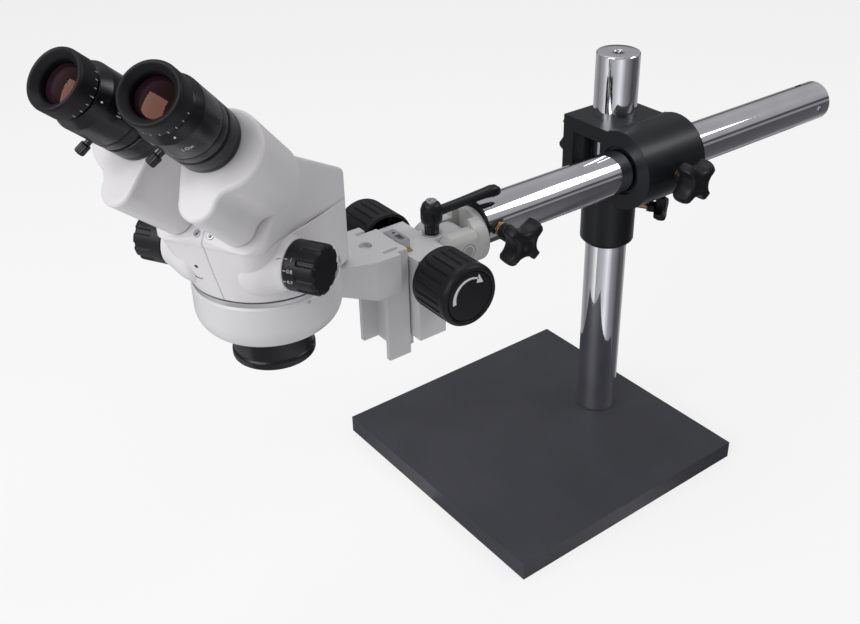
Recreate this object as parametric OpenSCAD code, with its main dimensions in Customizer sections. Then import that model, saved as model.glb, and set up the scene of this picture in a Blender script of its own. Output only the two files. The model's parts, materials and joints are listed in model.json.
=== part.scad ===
// Stereo zoom microscope on a single-arm boom stand.
// Origin: centre of the base's underside. +Z up, boom along X, head towards -X, user's near side -Y.

/* [Base and post] */
// Side of the square base plate
base_side = 254; // [220:1:300]
// Height of the base's top face above the bench
base_top = 16.4; // [14:0.2:22]
// Thickness of the rubber feet let into the base's underside
foot_t = 3; // [2:0.5:5]
// Distance of the post from the centre of the base
post_x = 76.8; // [60:0.2:90]
// Radius of the post
post_r = 18.5; // [17:0.1:19]
// Height of the post's top face above the bench
post_top = 370.6; // [350:0.2:400]

/* [Boom and clamps] */
// Side offset of the boom from the post
boom_y = -42; // [-46:0.1:-41.6]
// Height of the boom's axis
boom_z = 287.3; // [280:0.1:292]
// Radius of the boom
boom_r = 18; // [17:0.1:18.2]
// Head end of the boom
boom_head = -110; // [-110.4:0.1:-109.6]
// Tail end of the boom
boom_tail = 302; // [280:1:320]
// Radius of the clamp block's boom sleeve
sleeve_r = 33.5; // [32:0.5:34]
// Width of the clamp block along the boom
block_w = 66.7; // [60:0.1:72]

/* [Focus drive] */
// Position of the focus knobs' axis along the boom
focus_x = -167.9; // [-170:0.1:-165]
// Height of the focus knobs' axis
focus_z = 276.6; // [274:0.1:279]
// Radius of the focus knobs
focus_r = 23.4; // [20:0.1:25]
// Length of one focus knob
focus_len = 36.8; // [30:0.1:38]
// Distance of a focus knob's outer face from the boom's centre plane
focus_reach = 68.6; // [67:0.1:72]

/* [Head] */
// Position of the head's swivel axis along the boom
head_x = -284; // [-290:1:-282]
// Turn of the head in its ring
head_yaw = 29.5; // [0:1:60]
// Radius of the support ring
ring_r = 48.5; // [48.2:0.1:50]
// Height of the support ring's top edge
ring_top = 308; // [307:0.1:308]
// Half width of the head's body
body_l = 38.5; // [37:0.5:39]
// Radius of the zoom knobs
zoom_r = 16; // [14:0.1:17]
// Distance of a zoom knob's outer face from the middle of the head
zoom_reach = 64; // [62:0.5:68]

/* [Eyepieces] */
// Rise of the eyepiece axes above the horizontal
eye_tilt = 41; // [38:0.5:45]
// Outward splay of each eyepiece axis
eye_splay = 5.7; // [4:0.1:6]
// Length from the prism housing's face to the eyecup's rim
eye_len = 67; // [64:0.5:70]
// Radius of the eyepiece barrels
barrel_r = 19.4; // [18:0.1:20]
// Radius of the eyecups
cup_r = 17.5; // [16:0.1:18]

/* [Hidden] */
$fn = 72;
NEAR = 1;
FAR = -1;
// Radial clearance of a fit that turns or slides
fit = 0.05;
// Overlap that joins two shapes of one piece
weld = 0.5;
block_x = post_x - block_w / 2 - 0.95;
block_top = 316.5;
block_bottom = 253.5;
block_far = 25.8;
window_far = 13.9;
window_near = -18.4;
collar_r = 24;
collar_bottom = 196;
collar_knob_z = 235;
collar_knob_turn = -60;
stud_r = 4;
small_stud_r = 3;
boom_bore_r = 12.5;
head_lock_x = -98;
head_lock_turn = 5;
boom_lock_turn = 2;
key_angle = 45;
// Knuckle and tilt pivot
pivot_x = -132;
pivot_z = 279;
casting_z = 280;
casting_x = -124;
pivot_pin_r = 4;
cheek_r = 20;
cheek_out = 21;
slot_half = 9;
tongue_half = 8.7;
tongue_r = 12.9;
deck_z = 292;
clamp_slit = 1.2;
lever_x = -149.5;
// Focus slide
housing_front = -183;
housing_back = -155;
housing_half = 29;
housing_bottom = 227;
slider_front = -203.3;
web_front = -190.5;
web_back = -184.7;
slider_half = 19;
flange_t = 4;
slider_bottom = 213;
slider_top = 299;
bar_half = 10;
bar_back = -176;
pinion_teeth = 14;
pinion_tip_r = 5.4;
rack_pitch = 2 * PI * 5.5 / pinion_teeth;
rack_face = focus_x - pinion_tip_r - 0.2;
shaft_r = 4;
// Ring and arm
ring_bore_r = 45.2;
neck_r = 38;
ring_seat = 290;
ring_bottom = 272;
ring_round = 18;
arm_top = 300.7;
arm_end = -195;
// Body of the head, in the head's own frame: +X to the user, +Y to the near side
body_back = -46;
body_front = 62;
body_bottom = 311;
skirt_bottom = 302.5;
seam_back_z = 348;
seam_rise = 6;
top_back_z = 367.5;
top_slope = 29;
wall = 2.6;
half_gap = 0.15;
zoom_f = 32;
zoom_z = 338;
zoom_knob_len = 21;
lens_half = 11;
rod_f = -26;
rod_half = 18;
// Eyepieces: the frame of one side has its origin where the tube meets the prism housing
eye_f = 72.6;
eye_half = 21.7;
eye_z = 431.5;
housing_depth = 56;
face_gap = 0.5;
lobe_big = [4.1, 9.9];
lobe_big_r = 23.7;
lobe_small = [35.1, 4.4];
lobe_small_r = 11.2;
waist_r = 12;
pivot_hub_r = 8;
lock_turn = -33.5;

module at_head() translate([head_x, boom_y, 0]) rotate([0, 0, 180 + head_yaw]) children();
module at_eye(side) at_head() eye_frame(side) children();
module eye_frame(side)
    translate([eye_f, side * eye_half, eye_z])
        rotate([0, 90 - eye_tilt, 0])
            rotate([-side * eye_splay, 0, 0]) children();
module at_boom(x) translate([x, boom_y, boom_z]) rotate([0, 90, 0]) children();
module along_y(x, y, z) translate([x, y, z]) rotate([-90, 0, 0]) children();
module to_near(x, y, z) translate([x, y, z]) rotate([90, 0, 0]) children();
module box(low, high) translate(low) cube(high - low);

// Four-lobed clamp knob with a stud; its axis is +Z and the clamped part lies below zero
module star_knob(r, hub_r, hub_h, head_h, rod_r, rod_len) {
    translate([0, 0, hub_h]) linear_extrude(head_h) difference() {
        circle(r);
        for (k = [0:3]) rotate(45 + 90 * k) translate([1.27 * r, 0]) circle(0.7 * r);
    }
    cylinder(r = hub_r, h = hub_h + weld);
    translate([0, 0, -rod_len]) cylinder(r = rod_r, h = rod_len + weld);
}

// Socket-head screw with its head's underside at zero
module socket_screw(r, length, head_r, head_h) {
    translate([0, 0, -length]) cylinder(r = r, h = length + weld);
    difference() {
        cylinder(r = head_r, h = head_h);
        translate([0, 0, head_h / 2]) cylinder(r = head_r / 2, h = head_h, $fn = 6);
    }
}

module base_plate() color("dimgray") difference() {
    box([-base_side / 2, -base_side / 2, 0], [base_side / 2, base_side / 2, base_top]);
    translate([post_x, 0, -1]) cylinder(r = 5.25, h = base_top + 2);
    translate([post_x, 0, -1]) cylinder(r = 10, h = 10);
    for (x = [-107, 107], y = [-107, 107]) translate([x, y, -1]) cylinder(r = 10, h = foot_t + 1);
}

module base_feet() color("black") for (x = [-107, 107], y = [-107, 107])
    translate([x, y, 0]) cylinder(r = 9.8, h = foot_t);

module post() color("silver") translate([post_x, 0, 0]) difference() {
    translate([0, 0, base_top]) cylinder(r = post_r, h = post_top - base_top);
    translate([0, 0, base_top - 1]) cylinder(r = 5, h = 33);
    translate([0, 0, post_top - 15]) cylinder(r = 4, h = 16);
}

module post_bolt() color("gray") translate([post_x, 0, 7.4]) mirror([0, 0, 1])
    socket_screw(4.9, 34, 8, 5.6);

module post_washer() color("silver") translate([post_x, 0, 7.4]) difference() {
    cylinder(r = 9.5, h = 1.6);
    translate([0, 0, -1]) cylinder(r = 5.2, h = 4);
}

module safety_collar() color("black") difference() {
    translate([post_x, 0, 0]) rotate_extrude() polygon([
        [post_r + fit, collar_bottom], [collar_r - 3, collar_bottom], [collar_r, collar_bottom + 3],
        [collar_r, block_bottom - 0.1], [post_r + fit, block_bottom - 0.1]]);
    at_collar_knob() translate([0, 0, post_r - 3]) cylinder(r = small_stud_r + fit, h = 20);
}

module at_collar_knob() translate([post_x, 0, collar_knob_z]) rotate([0, 90, collar_knob_turn])
    children();

module collar_knob() color("black") at_collar_knob() translate([0, 0, 36])
    star_knob(13, 5, 6, 10, small_stud_r, 36 - post_r - 0.3);

module clamp_block() color("black") difference() {
    union() {
        box([block_x, boom_y + 11, block_bottom], [block_x + block_w, block_far, block_top]);
        at_boom(block_x) cylinder(r = sleeve_r, h = block_w);
        box([block_x, -34, block_top - 3], [block_x + block_w, -28, block_top + 1.8]);
    }
    box([block_x - 1, window_near, block_bottom + 12.5],
        [block_x + block_w + 1, window_far, block_top - 12.5]);
    translate([post_x, 0, 0]) cylinder(r = post_r + fit, h = post_top);
    at_boom(block_x - 1) cylinder(r = boom_r + fit, h = block_w + 2);
    for (end = [block_x - 1, block_x + block_w - 3]) at_boom(end) cylinder(r = boom_r + 2.6, h = 4);
    along_y(post_x, window_far - 2, 285) cylinder(r = stud_r + fit, h = 20);
    off_boom(post_x, boom_lock_turn) cylinder(r = stud_r + fit, h = sleeve_r + 4);
    at_key_screw() translate([0, 0, -5]) cylinder(r = 2.4 + fit, h = 30);
}

module post_lock_knob() color("black") along_y(post_x, block_far + 2.5, 285)
    star_knob(20, 8, 5, 18, stud_r, block_far + 2.5 - post_r - 0.3);

// Places a part on the boom's near side: its axis leaves the boom radially, turned down by an angle
module off_boom(x, turn) translate([x, boom_y, boom_z]) rotate([90 + turn, 0, 0]) children();

module boom_lock_knob() color("black") off_boom(post_x, boom_lock_turn) translate([0, 0, sleeve_r + 2.5])
    star_knob(20, 8, 5.5, 18, stud_r, sleeve_r + 2.5 - boom_r - 0.3);

module at_key_screw() off_boom(post_x - 18, key_angle) translate([0, 0, boom_r]) children();

module boom_key_screw() color("gray") at_key_screw() translate([0, 0, -1.2])
    cylinder(r = 2.4, h = 12);

module boom() color("silver") difference() {
    at_boom(boom_head) cylinder(r = boom_r, h = boom_tail - boom_head);
    at_boom(boom_head - 1) cylinder(r = boom_bore_r, h = boom_tail - boom_head + 2);
    off_boom(0, key_angle) box([-90, -2.5, boom_r - 1.5], [259, 2.5, boom_r + 2]);
    off_boom(281, -110) cylinder(r = 4.5, h = boom_r + 1);
    off_boom(287, boom_lock_turn) cylinder(r = 2.6, h = boom_r + 1);
    off_boom(head_lock_x, head_lock_turn) cylinder(r = stud_r + fit, h = boom_r + 1);
}

module boom_stop_screw() color("gray") off_boom(287, boom_lock_turn) translate([0, 0, boom_r - 4])
    cylinder(r = 2.55, h = 5);

module head_lock_knob() color("black") off_boom(head_lock_x, head_lock_turn)
    translate([0, 0, boom_r + 1.5])
        star_knob(19, 7, 12.5, 16, stud_r, boom_r + 1.5 - boom_bore_r - 0.1);

module spacer_ring() color("black") at_boom(boom_head - 1.95) difference() {
    cylinder(r = boom_r + 0.6, h = 1.9);
    translate([0, 0, -1]) cylinder(r = boom_bore_r + 0.1, h = 4);
}

module knuckle() color("gainsboro") difference() {
    union() {
        translate([casting_x, boom_y, casting_z]) rotate([0, 90, 0])
            cylinder(r = cheek_out, h = boom_head - 2 - casting_x);
        at_boom(casting_x + 2) cylinder(r = boom_bore_r - fit, h = 60);
        intersection() {
            union() {
                along_y(pivot_x, boom_y - cheek_out, pivot_z) cylinder(r = cheek_r, h = 2 * cheek_out);
                box([pivot_x, boom_y - cheek_out, pivot_z - cheek_r],
                    [casting_x + 1, boom_y + cheek_out, deck_z + 1]);
            }
            box([-200, boom_y - 30, 200], [casting_x + 1, boom_y + 30, deck_z + 1]);
            translate([-160, boom_y, casting_z]) rotate([0, 90, 0]) cylinder(r = cheek_out + 1.5, h = 40);
        }
    }
    box([pivot_x - cheek_r - 1, boom_y - slot_half, pivot_z - 30],
        [casting_x + 6, boom_y + slot_half, deck_z + 20]);
    along_y(pivot_x, boom_y - 30, pivot_z) cylinder(r = pivot_pin_r, h = 60);
}

module tilt_pin() color("silver") along_y(pivot_x, boom_y - cheek_out + 0.2, pivot_z)
    cylinder(r = pivot_pin_r - 0.02, h = 2 * cheek_out - 0.4);

module focus_housing() color("lightgray") difference() {
    union() {
        box([housing_front, boom_y - housing_half, housing_bottom],
            [housing_back - 5, boom_y + housing_half, deck_z - 0.1]);
        box([housing_back - 6, boom_y - housing_half, 258],
            [housing_back, boom_y + housing_half, deck_z - 0.1]);
        box([housing_back - 1, boom_y - tongue_half, pivot_z - tongue_r],
            [pivot_x, boom_y + tongue_half, pivot_z + tongue_r]);
        along_y(pivot_x, boom_y - tongue_half, pivot_z) cylinder(r = tongue_r, h = 2 * tongue_half);
    }
    along_y(pivot_x, boom_y - 30, pivot_z) cylinder(r = pivot_pin_r + 0.03, h = 60);
    box([lever_x - 9, boom_y - tongue_half - 1, pivot_z - clamp_slit / 2],
        [pivot_x, boom_y + tongue_half + 1, pivot_z + clamp_slit / 2]);
    box([housing_front - 1, boom_y - bar_half - 3, 200], [bar_back + 0.1, boom_y + bar_half + fit, 320]);
    box([housing_front, boom_y - 4.3, 200], [rack_face + 0.1, boom_y + 4.3, 320]);
    along_y(focus_x, boom_y - 6.2, focus_z) cylinder(r = 6.4, h = 12.4);
    along_y(focus_x, boom_y - 40, focus_z) cylinder(r = shaft_r + fit, h = 80);
    translate([lever_x, boom_y, deck_z - 24]) cylinder(r = 3, h = 30);
}

module gib_strip() color("peru") box([housing_front + 0.1, boom_y - bar_half - 2.95, housing_bottom - 1],
    [bar_back, boom_y - bar_half - fit, deck_z + 1]);

module lever_washer() color("silver") translate([lever_x, boom_y, deck_z - 0.1]) difference() {
    cylinder(r = 7.5, h = 1.4);
    translate([0, 0, -1]) cylinder(r = 3.1, h = 4);
}

module lever_screw() color("gray") translate([lever_x, boom_y, 315.8])
    socket_screw(2.9, 46, 3.9, 2.6);

module clamp_lever() color("black") translate([lever_x, boom_y, 0]) difference() {
    union() {
        translate([0, 0, deck_z + 1.4]) cylinder(r = 5.6, h = 7);
        translate([0, 0, deck_z + 7]) cylinder(r = 8, h = 13);
        translate([0, 0, deck_z + 19.9]) cylinder(r1 = 8, r2 = 6, h = 4.6);
        rotate([0, 0, -8]) hull() {
            translate([3, 0, 307.5]) sphere(r = 4, $fn = 24);
            translate([52, 0, 313]) sphere(r = 3.8, $fn = 24);
        }
    }
    translate([0, 0, deck_z]) cylinder(r = 2.95, h = 40);
    translate([0, 0, 315.7]) cylinder(r = 4, h = 10);
}

// Straight-flanked gear outline
module pinion_outline() union() {
    circle(pinion_tip_r - 1);
    for (k = [0:pinion_teeth - 1]) rotate(360 / pinion_teeth * k)
        polygon([[0, -0.8], [pinion_tip_r - 1, -0.8], [pinion_tip_r, -0.35],
            [pinion_tip_r, 0.35], [pinion_tip_r - 1, 0.8], [0, 0.8]]);
}

module pinion_shaft() color("silver") {
    along_y(focus_x, boom_y - focus_reach + 3, focus_z) cylinder(r = shaft_r, h = 2 * focus_reach - 6);
    along_y(focus_x, boom_y - 6, focus_z) linear_extrude(12) pinion_outline();
}

// Fluted focus knob, closed at zero and open at the inner end
module focus_knob() difference() {
    union() {
        difference() {
            cylinder(r = focus_r, h = focus_len);
            translate([0, 0, 5]) cylinder(r = focus_r - 3.4, h = focus_len);
            translate([0, 0, -1]) cylinder(r = focus_r - 4.2, h = 2.5);
            for (k = [0:19]) rotate(18 * k) translate([focus_r + 1.1, 0, 5])
                cylinder(r = 2, h = focus_len);
        }
        translate([0, 0, 4]) cylinder(r = 7, h = focus_len - 5);
        for (k = [0:5]) rotate(60 * k) box([6, -0.9, 4], [focus_r - 3, 0.9, focus_len - 6]);
    }
    translate([0, 0, 3]) cylinder(r = shaft_r, h = focus_len);
}

module focus_knob_near() color("black") along_y(focus_x, boom_y - focus_reach, focus_z) focus_knob();

module focus_knob_far() color("black") to_near(focus_x, boom_y + focus_reach, focus_z) focus_knob();

module tension_cap() color("black") along_y(focus_x, boom_y - focus_reach + 0.6, focus_z)
    cylinder(r = focus_r - 4.3, h = 0.85);

module slider() color("lightgray") difference() {
    box([slider_front, boom_y - slider_half, slider_bottom],
        [web_back, boom_y + slider_half, slider_top]);
    box([slider_front - 1, boom_y - slider_half + flange_t, slider_bottom - 1],
        [web_front, boom_y + slider_half - flange_t, slider_top + 1]);
    for (z = [281, 292]) translate([web_front - 10, boom_y, z]) rotate([0, 90, 0])
        cylinder(r = 2.55, h = 20);
}

module dovetail_bar() color("silver") difference() {
    box([web_back, boom_y - bar_half, slider_bottom], [bar_back, boom_y + bar_half, slider_top + 1]);
    box([web_back + 2, boom_y - 7, slider_top - 1], [bar_back - 2, boom_y + 1, slider_top + 2]);
    translate([web_back + 5, boom_y + 5, slider_top - 5]) cylinder(r = 1.1, h = 8);
    for (z = [281, 292]) translate([web_back - 1, boom_y, z]) rotate([0, 90, 0])
        cylinder(r = 2.55, h = 7);
}

module focus_rack() color("peru") difference() {
    box([bar_back, boom_y - 4, slider_bottom + 2], [rack_face, boom_y + 4, slider_top - 2]);
    for (k = [-25:8]) translate([rack_face, boom_y - 5, focus_z + k * rack_pitch]) rotate([-90, 0, 0])
        linear_extrude(10) polygon([[-1, -0.5], [1, -0.9], [1, 0.9], [-1, 0.5]]);
}

// Cross-section of the support ring, with a rounded lower edge
module ring_section() difference() {
    union() {
        polygon([[neck_r, ring_seat - 0.1], [ring_r, ring_seat - 0.1],
            [ring_r, ring_top - 1.5], [ring_r - 1.5, ring_top], [ring_bore_r, ring_top],
            [ring_bore_r, ring_seat], [neck_r, ring_seat]]);
        intersection() {
            translate([ring_r - ring_round, ring_bottom + ring_round]) circle(ring_round);
            translate([neck_r, ring_bottom]) square([ring_r - neck_r, ring_round + 0.01]);
        }
    }
    translate([0, ring_bottom - 1]) square([neck_r, 60]);
    translate([0, ring_seat]) square([ring_bore_r, 60]);
}

module arm_body() intersection() {
    translate([0, boom_y, 200]) linear_extrude(200) polygon([
        [head_x, -30], [head_x + 44, -17], [-214.6, -26], [arm_end, -26],
        [arm_end, 26], [-214.6, 26], [head_x + 44, 17], [head_x, 30]]);
    translate([0, 100, 0]) rotate([90, 0, 0]) linear_extrude(300) polygon([
        [head_x, arm_top - 18], [head_x + 40, arm_top - 20], [-214.6, arm_top - 29.7],
        [web_front, arm_top - 29.7], [web_front, arm_top], [head_x, arm_top]]);
}

module ring_arm() color("lightgray") difference() {
    union() {
        translate([head_x, boom_y, 0]) rotate_extrude() ring_section();
        arm_body();
        box([arm_end - 1, boom_y - slider_half + flange_t, arm_top - 29.7],
            [web_front, boom_y + slider_half - flange_t, arm_top]);
    }
    translate([head_x, boom_y, ring_seat]) cylinder(r = ring_bore_r, h = 60);
    translate([head_x, boom_y, ring_bottom - 1]) cylinder(r = neck_r, h = 60);
    for (s = [-1, 1]) box([slider_front, boom_y + s * (slider_half - flange_t / 2) - flange_t / 2, 200],
        [web_back, boom_y + s * (slider_half - flange_t / 2) + flange_t / 2, 320]);
    translate([-207, boom_y, arm_top - 3]) cylinder(r = 4.8, h = 5);
    for (z = [281, 292]) translate([-202, boom_y, z]) rotate([0, 90, 0]) cylinder(r = 2.55, h = 20);
    at_ring_screw() translate([0, 0, -10]) cylinder(r = 2.05, h = 30);
}

module arm_screws() color("gray") for (z = [281, 292]) translate([-200, boom_y, z])
    rotate([0, 90, 0]) cylinder(r = 2.5, h = 18);

module at_ring_screw() translate([head_x, boom_y, 296.4]) rotate([0, 90, 65])
    translate([0, 0, ring_r]) children();

module ring_lock_screw() color("black") at_ring_screw() {
    translate([0, 0, -3.2]) cylinder(r = 2, h = 6);
    translate([0, 0, 1]) cylinder(r = 5.5, h = 8);
}

module optics_frame() color("darkgray") at_head() difference() {
    union() {
        difference() {
            union() {
                translate([0, 0, 274]) cylinder(r = neck_r - fit, h = 16.5);
                translate([0, 0, ring_seat + 0.1]) cylinder(r = ring_bore_r - fit, h = 20);
                translate([0, 0, ring_top + 0.1]) cylinder(r = ring_r - 1, h = 2.8);
            }
            translate([0, 0, 281]) cylinder(r = 34, h = 60);
            translate([0, 0, 293]) cylinder(r = 42, h = 60);
        }
        box([-37.5, -24, 292], [-33, 24, 366]);
        for (s = [-1, 1]) mirror([0, s < 0 ? 1 : 0, 0]) {
            box([20, 27, 290.5], [30, 31, 340]);
            box([20, 27, 328], [39, 31, 348]);
        }
    }
    translate([0, 0, 270]) cylinder(r = 25.1, h = 20);
    along_y(zoom_f, -50, zoom_z) cylinder(r = 4 + fit, h = 100);
    for (s = [-1, 1]) translate([rod_f, s * rod_half, 277]) cylinder(r = 2, h = 10);
}

module objective_ring() color("black") at_head() difference() {
    union() {
        translate([0, 0, 248]) cylinder(r = 27.9, h = 5.5);
        translate([0, 0, 253]) cylinder(r = 26.9, h = 20.9);
        translate([0, 0, 273.8]) cylinder(r = 25, h = 7);
    }
    translate([0, 0, 247]) cylinder(r = 24, h = 6);
    translate([0, 0, 252.9]) cylinder(r = 24, h = 3);
    translate([0, 0, 255]) cylinder(r = 22, h = 40);
}

module objective_glass() color("lightblue") at_head() translate([0, 0, 253.1])
    cylinder(r = 23.9, h = 2.7);

module lens_cells() color("dimgray") at_head() difference() {
    union() {
        translate([0, 0, 281]) cylinder(r = 30, h = 3);
        for (s = [-1, 1]) translate([0, s * lens_half, 262]) cylinder(r = 9.6, h = 38);
    }
    for (s = [-1, 1]) translate([0, s * lens_half, 261]) cylinder(r = 8, h = 40);
    for (s = [-1, 1]) translate([rod_f, s * rod_half, 277]) cylinder(r = 2.2, h = 10);
}

module guide_rods() color("silver") at_head() for (s = [-1, 1])
    translate([rod_f, s * rod_half, 277.5]) cylinder(r = 1.98, h = 88);

module zoom_carriage() color("gray") at_head() difference() {
    union() {
        box([-31, -28, 322], [18, 28, 326]);
        for (s = [-1, 1]) translate([0, s * (lens_half + 3), 316]) cylinder(r = 11, h = 16);
    }
    for (s = [-1, 1]) translate([0, s * (lens_half + 3), 300]) cylinder(r = 9, h = 40);
    for (s = [-1, 1]) translate([rod_f, s * rod_half, 300]) cylinder(r = 1.98 + fit, h = 40);
}

module zoom_shaft() color("silver") at_head() {
    along_y(zoom_f, -zoom_reach + 2, zoom_z) cylinder(r = 4, h = 2 * zoom_reach - 4);
    along_y(zoom_f, -4, zoom_z) cylinder(r = 8, h = 8);
}

module zoom_knob() difference() {
    cylinder(r = zoom_r, h = zoom_knob_len);
    translate([0, 0, -1]) cylinder(r = 4, h = zoom_knob_len - 1);
    for (k = [0:9]) rotate(36 * k) translate([zoom_r + 1.2, 0, 8.5]) cylinder(r = 2.2, h = zoom_knob_len);
}

module zoom_knob_near() color("black") at_head() along_y(zoom_f, zoom_reach - zoom_knob_len, zoom_z)
    zoom_knob();

module zoom_knob_far() color("black") at_head() to_near(zoom_f, zoom_knob_len - zoom_reach, zoom_z)
    zoom_knob();

// Plan of the head's body, reduced by a margin: rounded rectangle from f0 to f1
module body_plan(margin, f0, f1, front_r, back_r) {
    half = body_l - margin;
    for (s = [-1, 1]) {
        translate([f1 - margin - front_r, s * (half - front_r)]) circle(front_r);
        translate([f0 + margin + back_r, s * (half - back_r)]) circle(back_r);
    }
    translate([f0 + margin + back_r, -half]) square([f1 - f0 - 2 * margin - back_r - front_r, 2 * half]);
    translate([f0 + margin, -half + back_r]) square([back_r + 1, 2 * (half - back_r)]);
    translate([f1 - margin - front_r - 1, -half + front_r]) square([front_r + 1, 2 * (half - front_r)]);
}

// Half-space above the inclined seam between the lower and upper covers
module above_seam(gap) translate([body_back, 0, seam_back_z + gap]) rotate([0, -seam_rise, 0])
    box([-60, -80, 0], [220, 80, 200]);

module lower_skin(margin) hull() {
    translate([0, 0, body_bottom - (margin > 0 ? 1 : 0)]) cylinder(r = ring_r - 1 - margin, h = 1, $fn = 48);
    translate([0, 0, skirt_bottom - (margin > 0 ? 1 : 0)]) linear_extrude(60)
        body_plan(margin, body_back, -12, 6, 6, $fn = 24);
    translate([0, 0, 352]) linear_extrude(20) body_plan(margin, body_back, body_front, 14, 6, $fn = 32);
}

module lower_cover(side) color("whitesmoke") at_head() difference() {
    union() {
        difference() {
            lower_skin(0);
            lower_skin(wall);
        }
        intersection() {
            translate([zoom_f, side * 24, zoom_z]) rotate([-side * 90, 0, 0])
                cylinder(r1 = 19.5, r2 = 15.4, h = zoom_reach - zoom_knob_len - 24.3);
            box([0, side > 0 ? 32 : -60, 300], [60, side > 0 ? 60 : -32, 380]);
        }
    }
    above_seam(-0.15);
    translate([0, 0, 200]) cylinder(r = ring_r + 0.6, h = body_bottom - 200);
    box([-100, side > 0 ? -100 : -half_gap, 200], [150, side > 0 ? half_gap : 100, 420]);
    along_y(zoom_f, -70, zoom_z) cylinder(r = 5, h = 140);
    translate([zoom_f, side * (zoom_reach - zoom_knob_len - half_gap), zoom_z])
        rotate([-side * 90, 0, 0]) cylinder(r = zoom_r + 0.4, h = 20);
    intersection() {
        translate([zoom_f, side * 20, zoom_z]) rotate([-side * 90, 0, 0]) cylinder(r = 12, h = 20);
        box([0, -38, 300], [60, 38, 380]);
    }
}

// Solid of the upper cover, before its halves are parted
module upper_skin(margin) intersection() {
    linear_extrude(600) body_plan(margin, body_back, body_front, 14, 6);
    above_seam(margin > 0 ? -5 : 0.15);
    translate([body_back, 0, top_back_z - margin * 1.3]) rotate([0, -top_slope, 0])
        box([-60, -80, -200], [220, 80, 0]);
}

module face_cut(side, margin) eye_frame(side)
    box([-120, -120, -housing_depth - face_gap - margin], [160, 120, 100]);

module upper_cover(side) color("whitesmoke") at_head() difference() {
    upper_skin(0);
    face_cut(side, 0);
    difference() {
        upper_skin(wall);
        face_cut(side, wall + 1);
    }
    box([-100, side > 0 ? -100 : -half_gap, 200], [150, side > 0 ? half_gap : 100, 520]);
    eye_frame(side) translate([lobe_small[0], side * lobe_small[1], -housing_depth - 12])
        cylinder(r = pivot_hub_r + fit, h = 14);
    band_screw_place(side, 4.5) translate([0, 0, -10]) cylinder(r = 1.6, h = 12);
}

module lower_cover_near() lower_cover(NEAR);
module lower_cover_far() lower_cover(FAR);
module upper_cover_near() upper_cover(NEAR);
module upper_cover_far() upper_cover(FAR);

// Place on the inclined band in front of the prism housings
module band_screw_place(side, offset) eye_frame(side)
    translate([42, side * (offset - eye_half + 5.6), -housing_depth - face_gap]) children();

module cover_screws() color("silver") at_head() for (side = [NEAR, FAR])
    band_screw_place(side, 4.5) {
        translate([0, 0, -3.4]) cylinder(r = 1.55, h = 3.5);
        difference() {
            cylinder(r = 2.6, h = 0.9);
            translate([0, 0, 0.4]) cylinder(r = 1.2, h = 2, $fn = 6);
        }
    }

// Outline of a prism housing, reduced by a margin, with its waist on the outer side
function waist_centre(r0, r1) = let(
    d = lobe_small - lobe_big,
    len = norm(d),
    a = (pow(r0, 2) - pow(r1, 2) + pow(len, 2)) / (2 * len),
    h = sqrt(pow(r0, 2) - pow(a, 2)),
    u = d / len) lobe_big + a * u + h * [-u[1], u[0]];

module housing_outline(margin) {
    r0 = lobe_big_r - margin;
    r1 = lobe_small_r - margin;
    rw = waist_r + margin;
    w = waist_centre(r0 + rw, r1 + rw);
    t0 = lobe_big + r0 / (r0 + rw) * (w - lobe_big);
    t1 = lobe_small + r1 / (r1 + rw) * (w - lobe_small);
    d = lobe_small - lobe_big;
    lean = asin((r0 - r1) / norm(d)) + atan2(d[1], d[0]);
    n = [sin(lean), -cos(lean)];
    translate(lobe_big) circle(r0);
    translate(lobe_small) circle(r1);
    difference() {
        polygon([lobe_big, t0, w, t1, lobe_small, lobe_small + r1 * n, lobe_big + r0 * n]);
        translate(w) circle(rw);
    }
}

module housing_plan(side, margin) mirror([0, side > 0 ? 0 : 1]) housing_outline(margin);

module prism_housing(side) color("whitesmoke") at_eye(side) difference() {
    union() {
        translate([0, 0, -housing_depth]) linear_extrude(housing_depth) housing_plan(side, 0);
        translate([lobe_small[0], side * lobe_small[1], -housing_depth - 4.5])
            cylinder(r = pivot_hub_r, h = 8);
    }
    translate([0, 0, -housing_depth + 4]) linear_extrude(housing_depth - 7.5) housing_plan(side, 3);
    translate([0, 0, -10]) cylinder(r = 11, h = 20);
    translate([lobe_small[0], side * lobe_small[1], -housing_depth - 5]) cylinder(r = 5.5, h = 12);
}

module prism_block(side) color("lightblue") at_eye(side)
    translate([lobe_big[0] + 4, side * (lobe_big[1] + 1), -housing_depth + 6]) difference() {
        box([-11.5, -11.5, 0], [11.5, 11.5, 28]);
        translate([11.5, 0, 28]) rotate([0, 45, 0]) box([-8, -20, -8], [8, 20, 8]);
    }

module prism_housing_near() prism_housing(NEAR);
module prism_housing_far() prism_housing(FAR);
module prism_near() prism_block(NEAR);
module prism_far() prism_block(FAR);

// Fixed tube on the prism housing; the groove below the eyepiece is turned into it
module eyetube(side) color("black") at_eye(side) difference() {
    rotate_extrude() polygon([
        [15.05, 0.1], [barrel_r, 0.1], [barrel_r, 14.6], [barrel_r - 1.4, 15], [barrel_r - 1.4, 17],
        [barrel_r, 17.4], [barrel_r, 23.9], [15.05, 23.9]]);
    translate([0, 0, 21]) rotate([0, 90, lock_turn]) cylinder(r = 2.05, h = 40);
}

// Eyepiece barrel with a bevelled rim and a sleeve that drops into the fixed tube
module eyepiece(side) color("black") at_eye(side) rotate_extrude() polygon([
    [11.5, 4], [15, 4], [15, 24.1], [barrel_r, 24.1], [barrel_r, 46], [16, 52], [15.2, 52],
    [15.2, 55.9], [11.5, 55.9]]);

module eyecup(side) color("black") at_eye(side) rotate_extrude() polygon([
    [15.25, 54], [cup_r, 54], [cup_r, eye_len - 1.5], [cup_r - 1, eye_len], [cup_r - 2.5, eye_len],
    [11.8, eye_len - 6], [11.8, 56], [15.25, 56]]);

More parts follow.
